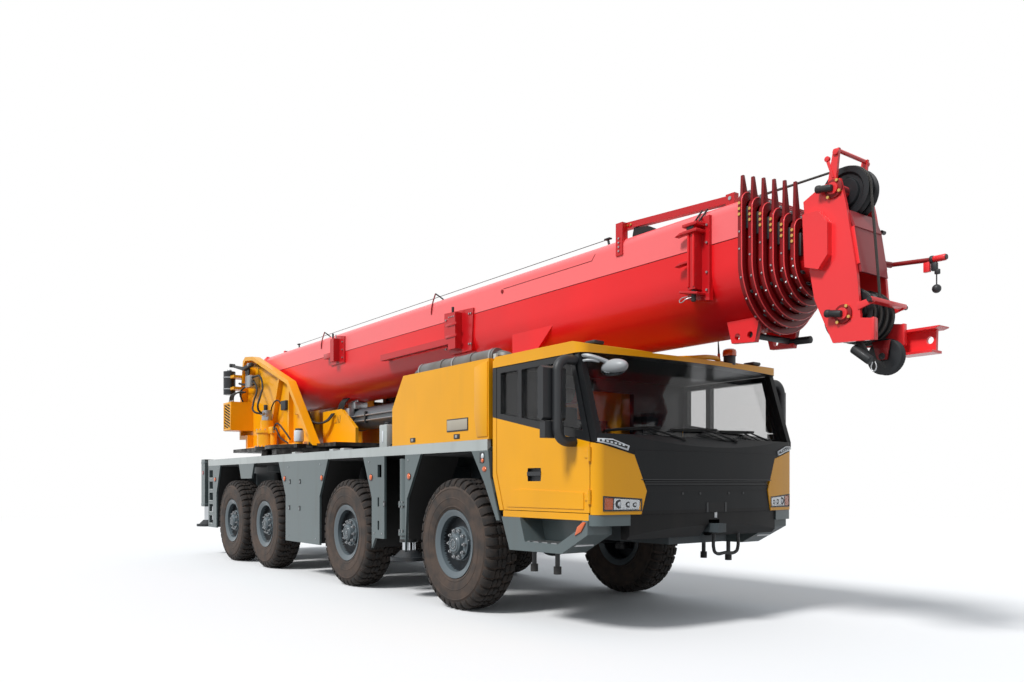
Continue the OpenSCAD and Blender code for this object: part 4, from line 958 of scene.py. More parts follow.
# Headlamps: a black housing with an amber turn lamp, a chromed bowl and a projector lens behind the cover
lamp_cover = Finish("lamp_cover")
lamp_cover.set(base_color=srgb(48, 52, 56), roughness=0.03, alpha=0.08, coat_weight=1.0,
               coat_roughness=0.02)
lamps = Shape()
on_nose(lamps, [(0.912, 1.088), (1.282, 1.088), (1.282, 1.202), (0.908, 1.178)], -0.0135, -0.004,
        black_plastic)
for outline in ([(0.900, 1.080), (1.290, 1.080), (1.290, 1.089), (0.905, 1.089)],
                [(0.900, 1.176), (1.290, 1.200), (1.290, 1.210), (0.898, 1.185)],
                [(0.896, 1.080), (0.908, 1.080), (0.908, 1.186), (0.896, 1.186)],
                [(1.280, 1.080), (1.291, 1.080), (1.291, 1.210), (1.280, 1.210)]):
    on_nose(lamps, outline, -0.006, 0.003, black_plastic)
on_nose(lamps, [(1.195, 1.094), (1.276, 1.094), (1.276, 1.196), (1.190, 1.190)], -0.008, -0.001, amber_lens)
on_nose(lamps, [(0.920, 1.094), (1.182, 1.094), (1.178, 1.188), (0.917, 1.173)], -0.010, -0.0035, chrome)
for y, z, radius in ((1.125, 1.140, 0.038), (1.035, 1.135, 0.026), (0.965, 1.132, 0.022)):
    lamps.pin("x", (y, z), cab_skin(y) - 0.010, cab_skin(y) - 0.0015, radius, black_plastic, sides=28)
    lamps.ball((cab_skin(y) - 0.008, y, z), (0.010, radius * 0.74, radius * 0.74), clear_lens)
for step in range(7):
    y = 0.935 + 0.036 * step
    strip(lamps, y, y + 0.022, 1.098, 1.108, -0.005, -0.001, clear_lens)
on_nose(lamps, [(0.910, 1.090), (1.280, 1.090), (1.280, 1.200), (0.908, 1.177)], -0.0005, 0.0015,
        lamp_cover)
# Day lamps on the edge of the cowl: a white frame round a dark strip of small lenses
on_nose(lamps, [(1.338, 1.662), (1.338, 1.694), (1.20, 1.690), (1.028, 1.634), (1.045, 1.592),
                (1.20, 1.634)], -0.008, 0.008, clear_lens, bevel=0.003)
on_nose(lamps, [(1.318, 1.668), (1.318, 1.684), (1.20, 1.680), (1.052, 1.630), (1.060, 1.610),
                (1.20, 1.648)], 0.004, 0.0105, black_plastic)
for step in range(6):
    y = 1.085 + 0.040 * step
    z = 1.632 + (y - 1.06) * 0.19
    on_nose(lamps, [(y, z - 0.007), (y + 0.020, z - 0.004), (y + 0.020, z + 0.010), (y, z + 0.007)], 0.008,
            0.0135, clear_lens)
lamps.mirror()
lamps.into("cab_lamps", "carrier", "trim")

# Front panels: seams, the bars in the air slot, the pocket of the towing pin and the step below
nose = Shape()
for low, high in ((1.300, 1.307), (1.314, 1.321), (1.328, 1.335)):
    strip(nose, -0.855, 0.855, low, high, -0.033, -0.012, black_plastic)
strip(nose, -0.84, 0.84, 1.246, 1.252, -0.0105, -0.0085, sealer_and_shade)
on_nose(nose, [(-0.90, 1.345), (0.90, 1.345), (0.905, 1.352), (-0.905, 1.352)], -0.002, 0.004,
        black_plastic)
strip(nose, -0.085, 0.135, 1.056, 1.140, -0.0105, -0.008, sealer_and_shade)
for y in (-0.105, 0.150):
    strip(nose, y - 0.012, y + 0.012, 1.054, 1.142, -0.011, -0.004, black_plastic)
nose.pin("z", (2.30, 0.025), 1.00, 1.085, 0.02, bolt_steel, bevel=0.003)
for y in (-0.42, 0.42, -0.20, 0.20):
    nose.pin("x", (y, 1.225), cab_skin(y) - 0.012, cab_skin(y) - 0.006, 0.012, black_plastic, sides=10)
nose.pipe([(2.20, 0.13, 0.845), (2.20, 0.13, 0.70), (2.20, 0.155, 0.665), (2.20, 0.30, 0.66),
           (2.20, 0.455, 0.665), (2.20, 0.48, 0.70), (2.20, 0.48, 0.845)], 0.016, black_paint)
nose.into("front_trim", "carrier", "black_plastic")

# Wipers: three arms from the cowl, each with a blade of sprung steel and rubber along the foot of the screen
SCREEN_FOOT = (2.226, 1.735)
SCREEN_LEAN = 0.3443


def screen(y, z, off):
    """A point on the windscreen, off so far to the front."""
    return (SCREEN_FOOT[0] - (z - SCREEN_FOOT[1]) * SCREEN_LEAN - y * y / (2 * CAB_BOW) + off, y, z)


wiper_black = Finish("wiper_black")
wiper_black.set(base_color=srgb(12, 13, 14), roughness=0.6, specular_ior_level=0.2)
wipers = Shape()
for pivot, tip, end in (((-0.366, 1.690), (-0.769, 1.805), (-1.200, 1.768)),
                        ((0.362, 1.700), (-0.038, 1.812), (-0.470, 1.795)),
                        ((0.961, 1.715), (0.599, 1.815), (0.200, 1.805))):
    base = (cab_skin(pivot[0]) - 0.065, pivot[0], pivot[1])
    wipers.rod((base[0] - 0.02, base[1], base[2] - 0.025), (base[0] + 0.02, base[1], base[2] + 0.03), 0.024,
               wiper_black, bevel=0.004)
    wipers.rod((base[0] + 0.01, base[1], base[2] + 0.02), screen(*tip, 0.05), 0.011, wiper_black, tip=0.007,
               sides=8)
    wipers.rod((base[0] + 0.01, base[1] - 0.09, base[2] + 0.0), screen(tip[0] - 0.05, tip[1] - 0.02, 0.045),
               0.007, wiper_black, sides=8)
    blade_end = (2 * tip[0] - end[0] - 0.24, tip[1] + 0.006)
    wipers.pipe([screen(*end, 0.016), screen(*tip, 0.034), screen(*blade_end, 0.016)], 0.010, wiper_black)
    wipers.pipe([screen(end[0], end[1] - 0.008, 0.008), screen(tip[0], tip[1] - 0.012, 0.008),
                 screen(blade_end[0], blade_end[1] - 0.010, 0.008)], 0.006, rubber)
for y in (-0.762, 0.588):
    wipers.block((cab_skin(y) - 0.09, y - 0.12, 1.648), (cab_skin(y) - 0.035, y + 0.12, 1.700), wiper_black,
                 bevel=0.014)
wipers.into("wipers", "carrier", "black_plastic")

# On the roof: two marker lamps, the amber beacon, an aerial, the air scoop's lip and the front mirror
grey_plastic = Finish("grey_plastic")
grey_plastic.set(base_color=grey_plastic.blend(grey_plastic.speckle(4.0), srgb(150, 153, 155),
                                               srgb(168, 171, 173)), roughness=0.4)
roof = Shape()
for y in (-1.10, 1.10):
    roof.block((1.83, y - 0.06, 2.532), (1.96, y + 0.06, 2.566), black_plastic, bevel=0.01)
roof.pin("z", (2.07, 0.52), 2.470, 2.562, 0.058, black_plastic, bevel=0.006, sides=24)
roof.lathe([(0.066, 0.0), (0.068, 0.035), (0.062, 0.058), (0.045, 0.070), (0.0, 0.074)],
           (2.07, 0.52, 2.560), (0, 0, 1), amber_lens)
roof.pin("z", (1.98, 0.47), 2.470, 2.590, 0.014, amber_lens, bevel=0.003)
roof.rod((1.98, 0.47, 2.585), (1.97, 0.47, 2.750), 0.010, black_plastic, tip=0.004)
roof.pipe([(1.90, -0.30, 2.470), (2.03, -0.20, 2.476), (2.085, -0.02, 2.492), (2.10, 0.18, 2.515),
           (2.075, 0.34, 2.512), (1.98, 0.42, 2.490), (1.86, 0.44, 2.474)], 0.024, crane_yellow, sides=4)
roof.ball((2.20, -1.15, 2.300), (0.150, 0.070, 0.068), grey_plastic, sides=28)
roof.ball((2.188, -1.143, 2.288), (0.145, 0.068, 0.064), mirror_glass, sides=28)
roof.pipe([(1.93, -1.315, 2.415), (2.02, -1.295, 2.405), (2.10, -1.24, 2.375), (2.15, -1.18, 2.345)], 0.019,
          grey_plastic)
roof.pipe([(1.96, -1.325, 2.360), (2.04, -1.29, 2.365), (2.10, -1.23, 2.352)], 0.013, grey_plastic)
roof.block((1.90, -1.350, 2.335), (1.97, -1.300, 2.425), black_plastic, bevel=0.01)
roof.into("roof_fittings", "carrier", "trim")

# Outriggers
# Four box beams slide out of the frame. Each carries a jack: a grey cylinder with bolted flanges in front, a
# square box behind, and in both a hard-chromed rod that stands on a pressed foot.

BARE_BEAM = 1.08
FOOT_HEIGHT = 0.119
FLANGE_CIRCLE = 0.114
FLANGE_BOLTS = 10
foot_paint = paint("foot_black", srgb(40, 43, 46), roughness=0.5, dirt=0.45, coat=0.05)


def beam_choice(middle, normal):
    """1 for the bare steel that slides in the tunnel."""
    return 1 if abs(middle.y) < BARE_BEAM else 0


def jack_choice(foot_top):
    """The rod is chromed, the foot below it painted."""
    def choose(middle, normal):
        return 0 if middle.z > foot_top else 1
    return choose


for name in ("fl", "fr", "rl", "rr"):
    side = 1 if name[1] == "l" else -1
    middle = middle_of(f"jack_{name}")
    foot_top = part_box(f"jack_{name}")[0].z + FOOT_HEIGHT
    dress(f"outrigger_beam_{name}", panel_paint, bolt_steel, choose=beam_choice)
    dress(f"jack_{name}", chrome, foot_paint, choose=jack_choice(foot_top))
    extra = Shape()
    if name[0] == "f":
        for height in (0.750, 1.075):
            extra.bolt_circle("z", (middle.x, middle.y), FLANGE_CIRCLE, height - 0.036, height + 0.036,
                              0.008, FLANGE_BOLTS)
        extra.lathe([(0.082, 0.0), (0.108, 0.004), (0.108, 0.03), (0.1055, 0.034)],
                    (middle.x, middle.y, 0.642), (0, 0, 1), black_paint)
        extra.pipe([(middle.x + 0.106, middle.y - 0.03 * side, 0.70),
                    (middle.x + 0.125, middle.y - 0.03 * side, 0.80),
                    (middle.x + 0.125, middle.y - 0.03 * side, 1.35),
                    (middle.x + 0.106, middle.y - 0.04 * side, 1.42)], 0.010, rubber)
    else:
        for height in (0.93, 1.71):
            extra.block((middle.x - 0.110, middle.y - 0.110, height - 0.025),
                        (middle.x + 0.110, middle.y + 0.110, height + 0.02), panel_paint, bevel=0.006)
        extra.pin("y", (middle.x, 1.52), middle.y + 0.103 * side, middle.y + 0.113 * side, 0.038, red_lens,
                  sides=24)
    extra.into(f"jack_fittings_{name}", f"beam_{name}", "jack_black")

# Turntable, slewing drive and winch
# Two flanged side plates of yellow steel on a round base, with the slewing gearbox, its hydraulic motor and
# the cooler bolted on the right. Rubber hoses with steel ends feed them. The rope is wound on the drum.

TABLE_Z = 1.8903
SLEW_AXIS = Vector((SLEW_X, 0, 0))
DRIVE = Vector((-0.7955, -0.7955, TABLE_Z))
TANK = (-2.59, -0.86)
TANK_RADIUS = 0.112


def turret_choice(middle, normal):
    """1 for the tank, 2 for the pinion and the greased face of the ring."""
    place = middle - SLEW_AXIS
    if math.hypot(place.x - TANK[0], place.y - TANK[1]) < TANK_RADIUS and place.z > 3.0:
        return 1
    pinion = math.hypot(place.x - DRIVE.x, place.y - DRIVE.y) < 0.1 and place.z < TABLE_Z
    ring = abs(place.z - TABLE_Z - 0.03) < 0.032 and normal.z < 0.5
    return 2 if pinion or ring else 0


tank_black = paint("tank_black", srgb(38, 41, 44), roughness=0.4, dirt=0.15, coat=0.2)
dress("turntable", crane_yellow, tank_black, grease, choose=turret_choice)
dress("winch_drum", frame_paint)
rope_wire = Finish("wire_rope")
strand = rope_wire.node("ShaderNodeTexWave", {"wave_type": "BANDS", "bands_direction": "DIAGONAL"},
                        {"Vector": rope_wire.place, "Scale": 60.0, "Distortion": 0.5})
rope_wire.set(base_color=rope_wire.blend(strand, srgb(36, 36, 36), srgb(92, 90, 86)), metallic=0.6,
              roughness=0.5, normal=rope_wire.grain(strand, 0.003))
DRUM = middle_of("winch_drum")
ROPE_RADIUS = 0.011
COIL_TURNS = 39
COIL_STEPS = 12
COIL_RADIUS = 0.251
COIL_PITCH = 0.0226
COIL_START = -0.44
coil = Shape()
turns = []
for step in range(COIL_TURNS * COIL_STEPS + 1):
    angle = math.tau * step / COIL_STEPS
    turns.append((DRUM.x + COIL_RADIUS * math.cos(angle), COIL_START + COIL_PITCH * step / COIL_STEPS,
                  DRUM.z + COIL_RADIUS * math.sin(angle)))
coil.pipe(turns, ROPE_RADIUS, rope_wire, sides=1)
for y in (-0.482, 0.482):
    coil.lathe([(0.30, -0.008), (0.312, -0.008), (0.312, 0.008), (0.30, 0.008)], (DRUM.x, y, DRUM.z),
               (0, 1, 0), black_paint, closed=True)
coil.into("wound_rope", "winch_drum", "dark_metal")

# The slewing motor stands on its gearbox; bolts ring both joints and two ports look outward
PORTS = (Vector((-0.02, -0.11, 0.64)), Vector((0.05, -0.11, 0.64)))
motor = Shape()
for reach, height, count, size in ((0.19, 0.06, 16, 0.013), (0.176, 0.35, 12, 0.010)):
    motor.bolt_circle("z", (0, 0), reach, height - 0.004, height + 0.018, size, count)
motor.pin("z", (0, 0), 0.51, 0.60, 0.088, bolt_steel, bevel=0.012, sides=24)
motor.block((-0.085, -0.06, 0.58), (0.085, 0.06, 0.70), bolt_steel, bevel=0.01)
for x, y, z in PORTS:
    motor.pin("y", (x, z), y, y + 0.07, 0.028, bolt_steel, bevel=0.004)
motor.pin("z", (-0.06, 0), 0.70, 0.80, 0.034, black_plastic, bevel=0.008)
motor.pin("z", (0.26, 0.02), 0.06, 0.30, 0.055, crane_yellow, bevel=0.01)
motor.block((0.17, -0.05, 0.28), (0.36, 0.08, 0.40), crane_yellow, bevel=0.01)
for height in (0.305, 0.345, 0.38):
    motor.bolt("x", (-0.02, height), 0.35, 0.40, 0.015)
drive = motor.placed(Matrix.Translation(DRIVE))
motor.mesh.free()
drive.block((-0.33, -0.735, 2.56), (-0.12, -0.615, 2.72), black_plastic, bevel=0.012)
drive.pin("z", (0.70, -0.83), 1.985, 2.165, 0.078, clear_lens, bevel=0.012, sides=28)
drive.pin("z", (0.70, -0.83), 2.155, 2.195, 0.060, black_plastic, bevel=0.008, sides=28)
drive.into("slewing_motor", "turntable", "dark_metal", at=SLEW_AXIS)

# The cooler's right side: pressed slats that slope to the front, in a folded frame over a dark opening
COOLER_REAR = -2.385
COOLER_FRONT = -2.055
COOLER_FACE = -1.010
COOLER_LOW = 2.345
COOLER_TOP = 2.785
COOLER_FOLD = 0.040
SLAT_FALL = 0.30
SLAT_STEP = 0.054
SLAT_COUNT = 10
SLAT_START = 0.6
SLAT_RADIUS = 0.0095
louvres = Shape()
louvres.block((COOLER_REAR, COOLER_FACE - 0.002, COOLER_LOW),
              (COOLER_FRONT, COOLER_FACE + 0.010, COOLER_TOP), sealer_and_shade)
for step in range(SLAT_COUNT):
    level = COOLER_LOW + SLAT_STEP * (step + SLAT_START)
    rear = max(COOLER_REAR, COOLER_REAR + (level - COOLER_TOP) / SLAT_FALL)
    front = min(COOLER_FRONT, COOLER_REAR + (level - COOLER_LOW) / SLAT_FALL)
    louvres.rod((rear, COOLER_FACE - 0.006, level - SLAT_FALL * (rear - COOLER_REAR)),
                (front, COOLER_FACE - 0.006, level - SLAT_FALL * (front - COOLER_REAR)), SLAT_RADIUS,
                crane_yellow, sides=6)
for low_x, low_z, high_x, high_z in (
        (COOLER_REAR - COOLER_FOLD, COOLER_LOW - COOLER_FOLD, COOLER_REAR, COOLER_TOP + COOLER_FOLD),
        (COOLER_FRONT, COOLER_LOW - COOLER_FOLD, COOLER_FRONT + COOLER_FOLD, COOLER_TOP + COOLER_FOLD),
        (COOLER_REAR, COOLER_LOW - COOLER_FOLD, COOLER_FRONT, COOLER_LOW),
        (COOLER_REAR, COOLER_TOP, COOLER_FRONT, COOLER_TOP + COOLER_FOLD)):
    louvres.block((low_x, COOLER_FACE - 0.018, low_z), (high_x, COOLER_FACE + 0.010, high_z), crane_yellow,
                  bevel=0.003)
louvres.into("cooler_louvres", "turntable", "yellow", at=SLEW_AXIS)

# Hoses: black rubber between zinc ends, from motor, cooler and tank to steel blocks on the side plate
HOSE_RADIUS = 0.017
THIN_HOSE = 0.014
hoses = Shape()
ports = [DRIVE + port for port in PORTS]
hoses.pipe([ports[0], (ports[0].x - 0.06, -0.99, 2.56), (ports[0].x - 0.22, -0.95, 2.72),
            (-1.28, -0.80, 2.98), (-1.50, -0.76, 3.14), (-1.72, -0.745, 3.18)], HOSE_RADIUS, rubber)
hoses.pipe([ports[1], (ports[1].x + 0.05, -0.99, 2.60), (ports[1].x + 0.02, -0.94, 2.82),
            (-1.02, -0.79, 3.02), (-1.22, -0.76, 3.22), (-1.52, -0.745, 3.26),
            (-1.74, -0.745, 3.24)], HOSE_RADIUS, rubber)
hoses.pipe([DRIVE + Vector((0.38, -0.02, 0.345)), DRIVE + Vector((0.52, -0.04, 0.36)), (-0.18, -0.80, 2.10),
            (0.02, -0.74, 1.99)], THIN_HOSE, rubber)
hoses.pipe([DRIVE + Vector((0.38, -0.02, 0.38)), DRIVE + Vector((0.56, -0.03, 0.44)), (-0.06, -0.79, 2.22),
            (0.10, -0.735, 2.05)], THIN_HOSE, rubber)
hoses.pipe([DRIVE + Vector((0.05, 0.05, 0.66)), DRIVE + Vector((0.16, 0.03, 0.76)), (-0.45, -0.74, 2.74),
            (-0.36, -0.70, 2.66)], 0.012, rubber)
hoses.pipe([(-2.44, -0.72, 3.22), (-2.30, -0.76, 3.20), (-2.05, -0.745, 3.16),
            (-1.86, -0.735, 3.17)], 0.02, rubber)
hoses.pipe([(-2.30, -0.70, 2.86), (-2.34, -0.74, 3.00), (-2.16, -0.76, 3.08),
            (-1.88, -0.735, 3.13)], 0.016, rubber)
hoses.block((-1.90, -0.80, 3.08), (-1.66, -0.612, 3.30), bolt_steel, bevel=0.008)
for height in (3.12, 3.19, 3.26):
    hoses.pin("x", (-0.745, height), -1.67, -1.60, 0.020, black_plastic, sides=8)
    hoses.bolt("x", (-0.74, height), -1.96, -1.89, 0.018)
for number in range(3):
    station = -2.36 + 0.09 * number
    hoses.bolt("z", (station, -0.93), 2.828, 2.87, 0.020)
    hoses.pipe([(station, -0.93, 2.86), (station + 0.02, -0.91, 2.97), (-2.28 + 0.08 * number, -0.83, 3.02),
                (-2.16 + 0.06 * number, -0.74, 3.02)], 0.015, rubber)
for start in (0.62, 0.66, 0.70):
    hoses.pipe([(start - 0.55, -0.60, 2.52), (start - 0.30, -0.58, 2.42), (start - 0.06, -0.50, 2.30),
                (start + 0.14, -0.40, 2.33), (start + 0.24, -0.335, 2.44)], 0.015, rubber)
hoses.block((0.10, -0.66, 2.46), (0.34, -0.56, 2.58), crane_yellow, bevel=0.008)
hoses.into("turret_hoses", "turntable", "black_plastic", at=SLEW_AXIS)

# A mast for the rear camera folds back from the turret's top edge, over the black tank; caps close the
# bores of the boom's pivot
PIVOT_X = -1.95
PIVOT_Z = 3.40
CAP_CIRCLE = 0.082
CAP_BOLTS = 6
mast = Shape()
mast.plate([(-2.70, 3.56), (-2.05, 3.42), (-1.60, 3.46), (-1.60, 3.52),
            (-2.05, 3.485), (-2.70, 3.60)], "xz", -0.80, -0.74, black_paint, bevel=0.006)
mast.pin("y", (-2.70, 3.585), -0.82, -0.72, 0.036, black_plastic, bevel=0.006)
mast.pin("y", (-1.72, 3.49), -0.82, -0.61, 0.030, bolt_steel, bevel=0.004)
for height in (3.115, 3.335):
    mast.lathe([(0.111, -0.010), (0.116, -0.010), (0.116, 0.010), (0.111, 0.010)], (*TANK, height),
               (0, 0, 1), bolt_steel, closed=True)
mast.pin("z", TANK, 3.445, 3.485, 0.045, bolt_steel, bevel=0.006)
for y in (-0.735, 0.735):
    mast.pin("y", (PIVOT_X, PIVOT_Z), y - 0.012, y + 0.012, 0.105, black_paint, sides=32, bevel=0.004)
    mast.bolt_circle("y", (PIVOT_X, PIVOT_Z), CAP_CIRCLE, y - 0.018, y + 0.018, 0.010, CAP_BOLTS)
mast.into("camera_mast", "turntable", "dark_metal", at=SLEW_AXIS)

# Operator's cab
# A small cab of folded yellow sheet on the left of the turntable, glazed in front, at the side and behind,
# with a handrail, a wiper and a work lamp. Inside it is lined in dark grey and holds a seat with two levers.

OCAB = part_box("operator_cab")
OCAB_LOW = OCAB[0] - Vector((FRONT_AXLE, 0, 0))
OCAB_SIZE = OCAB[1] - OCAB[0]
LINING_INSET = 0.03
LINING = srgb(46, 48, 51)


def lining_share(finish):
    """The inside of the cab's box is lined."""
    share = None
    for axis, low, high in zip("XYZ", OCAB[0], OCAB[1]):
        place = finish.axis(axis)
        within = (place > low + LINING_INSET) * (place < high - LINING_INSET)
        share = within if share is None else share * within
    return share


dress("operator_cab", paint("operator_cab_yellow", CRANE_YELLOW, roughness=0.26, dirt=0.08, coat=0.4,
                            second=LINING, where=lining_share))
dress("operator_glass", window)
ocab = Shape()
ocab.block((0.52, OCAB_SIZE.y - 0.004, 0.44), (0.64, OCAB_SIZE.y + 0.012, 0.50), black_plastic, bevel=0.008)
ocab.pipe([(0.30, OCAB_SIZE.y - 0.002, 0.25), (0.30, OCAB_SIZE.y + 0.05, 0.30),
           (0.30, OCAB_SIZE.y + 0.05, 1.00), (0.30, OCAB_SIZE.y - 0.002, 1.05)], 0.014, black_plastic)
ocab.block((OCAB_SIZE.x - 0.28, 0.10, OCAB_SIZE.z - 0.004),
           (OCAB_SIZE.x - 0.18, 0.26, OCAB_SIZE.z + 0.07), black_plastic, bevel=0.012)
ocab.block((OCAB_SIZE.x - 0.185, 0.115, OCAB_SIZE.z + 0.006),
           (OCAB_SIZE.x - 0.172, 0.245, OCAB_SIZE.z + 0.06), clear_lens, bevel=0.005)
ocab.rod((OCAB_SIZE.x - 0.030, 0.32, 0.26), (OCAB_SIZE.x - 0.085, 0.36, 0.92), 0.008, black_plastic)
ocab.rod((OCAB_SIZE.x - 0.055, 0.36, 0.60), (OCAB_SIZE.x - 0.105, 0.36, 1.16), 0.009, rubber)
ocab.block((0.42, 0.12, 0.05), (0.92, OCAB_SIZE.y - 0.12, 0.36), black_plastic, bevel=0.02)
ocab.block((0.40, 0.10, 0.36), (0.94, OCAB_SIZE.y - 0.10, 0.50), seat_cloth, bevel=0.05)
ocab.plate([(0.38, 0.46), (0.52, 0.46), (0.44, 1.10), (0.32, 1.10)], "xz", 0.12, OCAB_SIZE.y - 0.12,
           seat_cloth, bevel=0.04)
for y in (0.08, OCAB_SIZE.y - 0.16):
    ocab.block((0.66, y, 0.46), (1.00, y + 0.08, 0.60), black_plastic, bevel=0.02)
    ocab.rod((0.94, y + 0.04, 0.59), (0.95, y + 0.04, 0.74), 0.012, black_plastic)
    ocab.ball((0.95, y + 0.04, 0.76), (0.022, 0.022, 0.034), black_plastic)
ocab.into("operator_cab_fittings", "turntable", "black_plastic", at=OCAB_LOW)

# Lift cylinder
# A heavy hydraulic cylinder under the boom: a drawn tube in dark grey paint with a screwed gland, a chromed
# rod, and a holding valve at its foot with steel pipes and hoses.

ROD_EYE = -0.06
cylinder_paint = paint("cylinder_grey", srgb(92, 98, 102), roughness=0.34, dirt=0.25, coat=0.2)


def rod_choice(middle, normal):
    """1 for the painted eye at the front end."""
    return 1 if middle.x > ROD_EYE else 0


dress("lift_barrel", cylinder_paint)
dress("lift_rod", chrome, cylinder_paint, choose=rod_choice)
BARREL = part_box("lift_barrel")
BARREL_REAR = BARREL[0].x - FRONT_AXLE
BARREL_LENGTH = BARREL[1].x - BARREL[0].x
LIFT_Z = 2.34
valve = Shape()
valve.block((0.36, -0.17, 0.155), (0.60, 0.05, 0.27), bolt_steel, bevel=0.01)
valve.block((0.40, -0.255, -0.02), (0.56, -0.16, 0.17), bolt_steel, bevel=0.01)
for number in range(4):
    station = 0.39 + 0.055 * number
    valve.bolt("z", (station, -0.10), 0.26, 0.31, 0.018)
    valve.pipe([(station, -0.10, 0.30), (station - 0.03, -0.14, 0.355), (station - 0.10, -0.24, 0.30),
                (station - 0.16, -0.29, 0.12), (station - 0.22, -0.30, -0.06)], 0.015, rubber)
for y, z in ((-0.182, 0.03), (-0.176, -0.05)):
    valve.pipe([(0.55, y - 0.02, z), (0.70, y - 0.014, z), (BARREL_LENGTH - 0.55, y - 0.010, z + 0.02),
                (BARREL_LENGTH - 0.16, y - 0.010, z + 0.03)], 0.012, bolt_steel)
for station in (1.0, 1.9, 2.7):
    if station < BARREL_LENGTH - 0.3:
        valve.block((station - 0.02, -0.208, -0.09), (station + 0.02, -0.165, 0.09),
                    black_plastic, bevel=0.005)
valve.into("lift_valve", "lift_barrel", "dark_metal", at=(BARREL_REAR, 0, LIFT_Z))

# Boom base section
# A welded box of high-strength plate in red, round below. A seam weld runs along each side, and above it the
# red is painted lighter and pinker, a painted sheen of sky light. Brackets on the right can take a stowed
# extension, guides on top a line.

BOOM_RED = srgb(232, 24, 30)
# A lighter, pinker red above the seam: a painted sheen.
PAINTED_SHEEN_RED = srgb(252, 114, 116)
SEAM_Z = 3.33


def painted_sheen_share(finish):
    """Above the seam the red is painted lighter, a painted sheen."""
    return finish.limits(finish.axis("Z"), SEAM_Z - 0.004, SEAM_Z + 0.004)


base_red = paint("boom_base_red", BOOM_RED, roughness=0.3, dirt=0.03, coat=0.15, second=PAINTED_SHEEN_RED,
                 where=painted_sheen_share)
boom_red = paint("boom_red", BOOM_RED, roughness=0.3, dirt=0.05, coat=0.15)
seam_red = paint("seam_red", tint(BOOM_RED, 0.3), roughness=0.5, dirt=0.1, coat=0.1)
# The collars' sides are painted a dark red: a painted shade.
collar_shade_red = paint("collar_shade_red", srgb(128, 12, 18), roughness=0.4, dirt=0.12, coat=0.15)
brass = Finish("brass")
brass.set(base_color=srgb(214, 176, 100), metallic=0.85, roughness=0.3)
BASE_FRONT = 3.04
BASE_REAR = -7.75
BOOM_HALF = 0.5
BOOM_LOW = 2.62
BOOM_TOP = 3.65
COLLAR_THICK = 0.04
BRACKET_LOW = 2.75
STOW_Y = BOOM_HALF + 0.12
LINE_Y = -0.30
LINE_Z = 3.757


def base_choice(middle, normal):
    """1 for the collar, 2 for the brackets and the tube on the shoulder; both are darker reds that are
    painted shade.
    """
    if middle.x > BASE_FRONT - COLLAR_THICK - 0.002:
        return 1
    bracket = -middle.y > BOOM_HALF + 0.004 and middle.z > BRACKET_LOW
    tube = middle.z > BOOM_TOP + 0.002
    return 2 if bracket or tube else 0


# The brackets and the shoulder tube are painted a darker red: a painted shade.
bracket_shade_red = paint("bracket_shade_red", srgb(196, 20, 28), roughness=0.34, dirt=0.08, coat=0.25)
dress("boom_base", base_red, collar_shade_red, bracket_shade_red, choose=base_choice)
base = Shape()
for y in (-BOOM_HALF, BOOM_HALF):
    base.pin("x", (y, SEAM_Z), BASE_REAR + 0.10, BASE_FRONT - 0.045, 0.004, seam_red, sides=8)
    base.pin("x", (y, 3.515), -0.28, 1.20, 0.0035, seam_red, sides=8)
    base.rod((1.20, y, 3.515), (1.25, y * 0.998, 3.572), 0.0035, seam_red, sides=8)
# Bolts, rollers and keepers of the stow brackets on the right side
for station in (2.485, 2.675):
    for height in (2.95, 3.10, 3.35, 3.50):
        base.bolt("y", (station, height), -BOOM_HALF - 0.028, -BOOM_HALF - 0.042, 0.011)
for station in (2.552, 2.608):
    base.block((station - 0.009, -STOW_Y - 0.012, 2.98), (station + 0.009, -STOW_Y + 0.002, 3.48), boom_red,
               bevel=0.003)
for height in (3.448, 3.505):
    base.block((2.50, -STOW_Y - 0.030, height - 0.014), (2.66, -BOOM_HALF - 0.02, height + 0.014),
               bracket_shade_red, bevel=0.006)
base.block((2.545, -STOW_Y - 0.020, 3.462), (2.615, -STOW_Y + 0.03, 3.491), sealer_and_shade)
base.pin("z", (2.58, -STOW_Y + 0.03), 2.86, 2.965, 0.020, black_paint, bevel=0.004)
base.plate([(2.46, 2.945), (2.66, 2.905), (2.66, 2.925), (2.46, 2.965)], "xz", -STOW_Y - 0.02,
           -BOOM_HALF - 0.02, bracket_shade_red, bevel=0.003)
base.pipe([(2.57, -STOW_Y + 0.01, 2.895), (2.53, -STOW_Y - 0.02, 2.878), (2.49, -STOW_Y - 0.02, 2.86),
           (2.465, -STOW_Y - 0.02, 2.872), (2.48, -STOW_Y - 0.02, 2.892), (2.55, -STOW_Y - 0.01, 2.902)],
          0.004, bolt_steel)
for height in (3.195, 3.455):
    base.plate([(2.36, height), (2.53, height + 0.01), (2.53, height + 0.03), (2.42, height + 0.025)], "xz",
               -BOOM_HALF - 0.09, -BOOM_HALF - 0.028, bracket_shade_red, bevel=0.003)
for station in (2.56, 2.62):
    base.pipe([(station, -STOW_Y + 0.02, 3.50), (station, -BOOM_HALF - 0.01, 3.60),
               (station + 0.01, -0.47, 3.655)], 0.008, black_paint)
for station in (-1.455, -1.39, -0.94, -0.90):
    for height in (2.98, 3.34):
        base.bolt("y", (station, height), -BOOM_HALF - 0.018, -BOOM_HALF - 0.034, 0.012)
for number in range(4):
    station = -1.235 + 0.037 * number
    base.bolt("y", (station, 3.33), -STOW_Y - 0.008, -STOW_Y + 0.002, 0.009)
for height in (3.095, 3.235):
    base.block((-1.30, -STOW_Y - 0.012, height - 0.015), (-1.06, -STOW_Y + 0.004, height + 0.015),
               bracket_shade_red, bevel=0.004)
base.pin("z", (-1.18, -STOW_Y + 0.02), 3.375, 3.45, 0.016, black_paint)
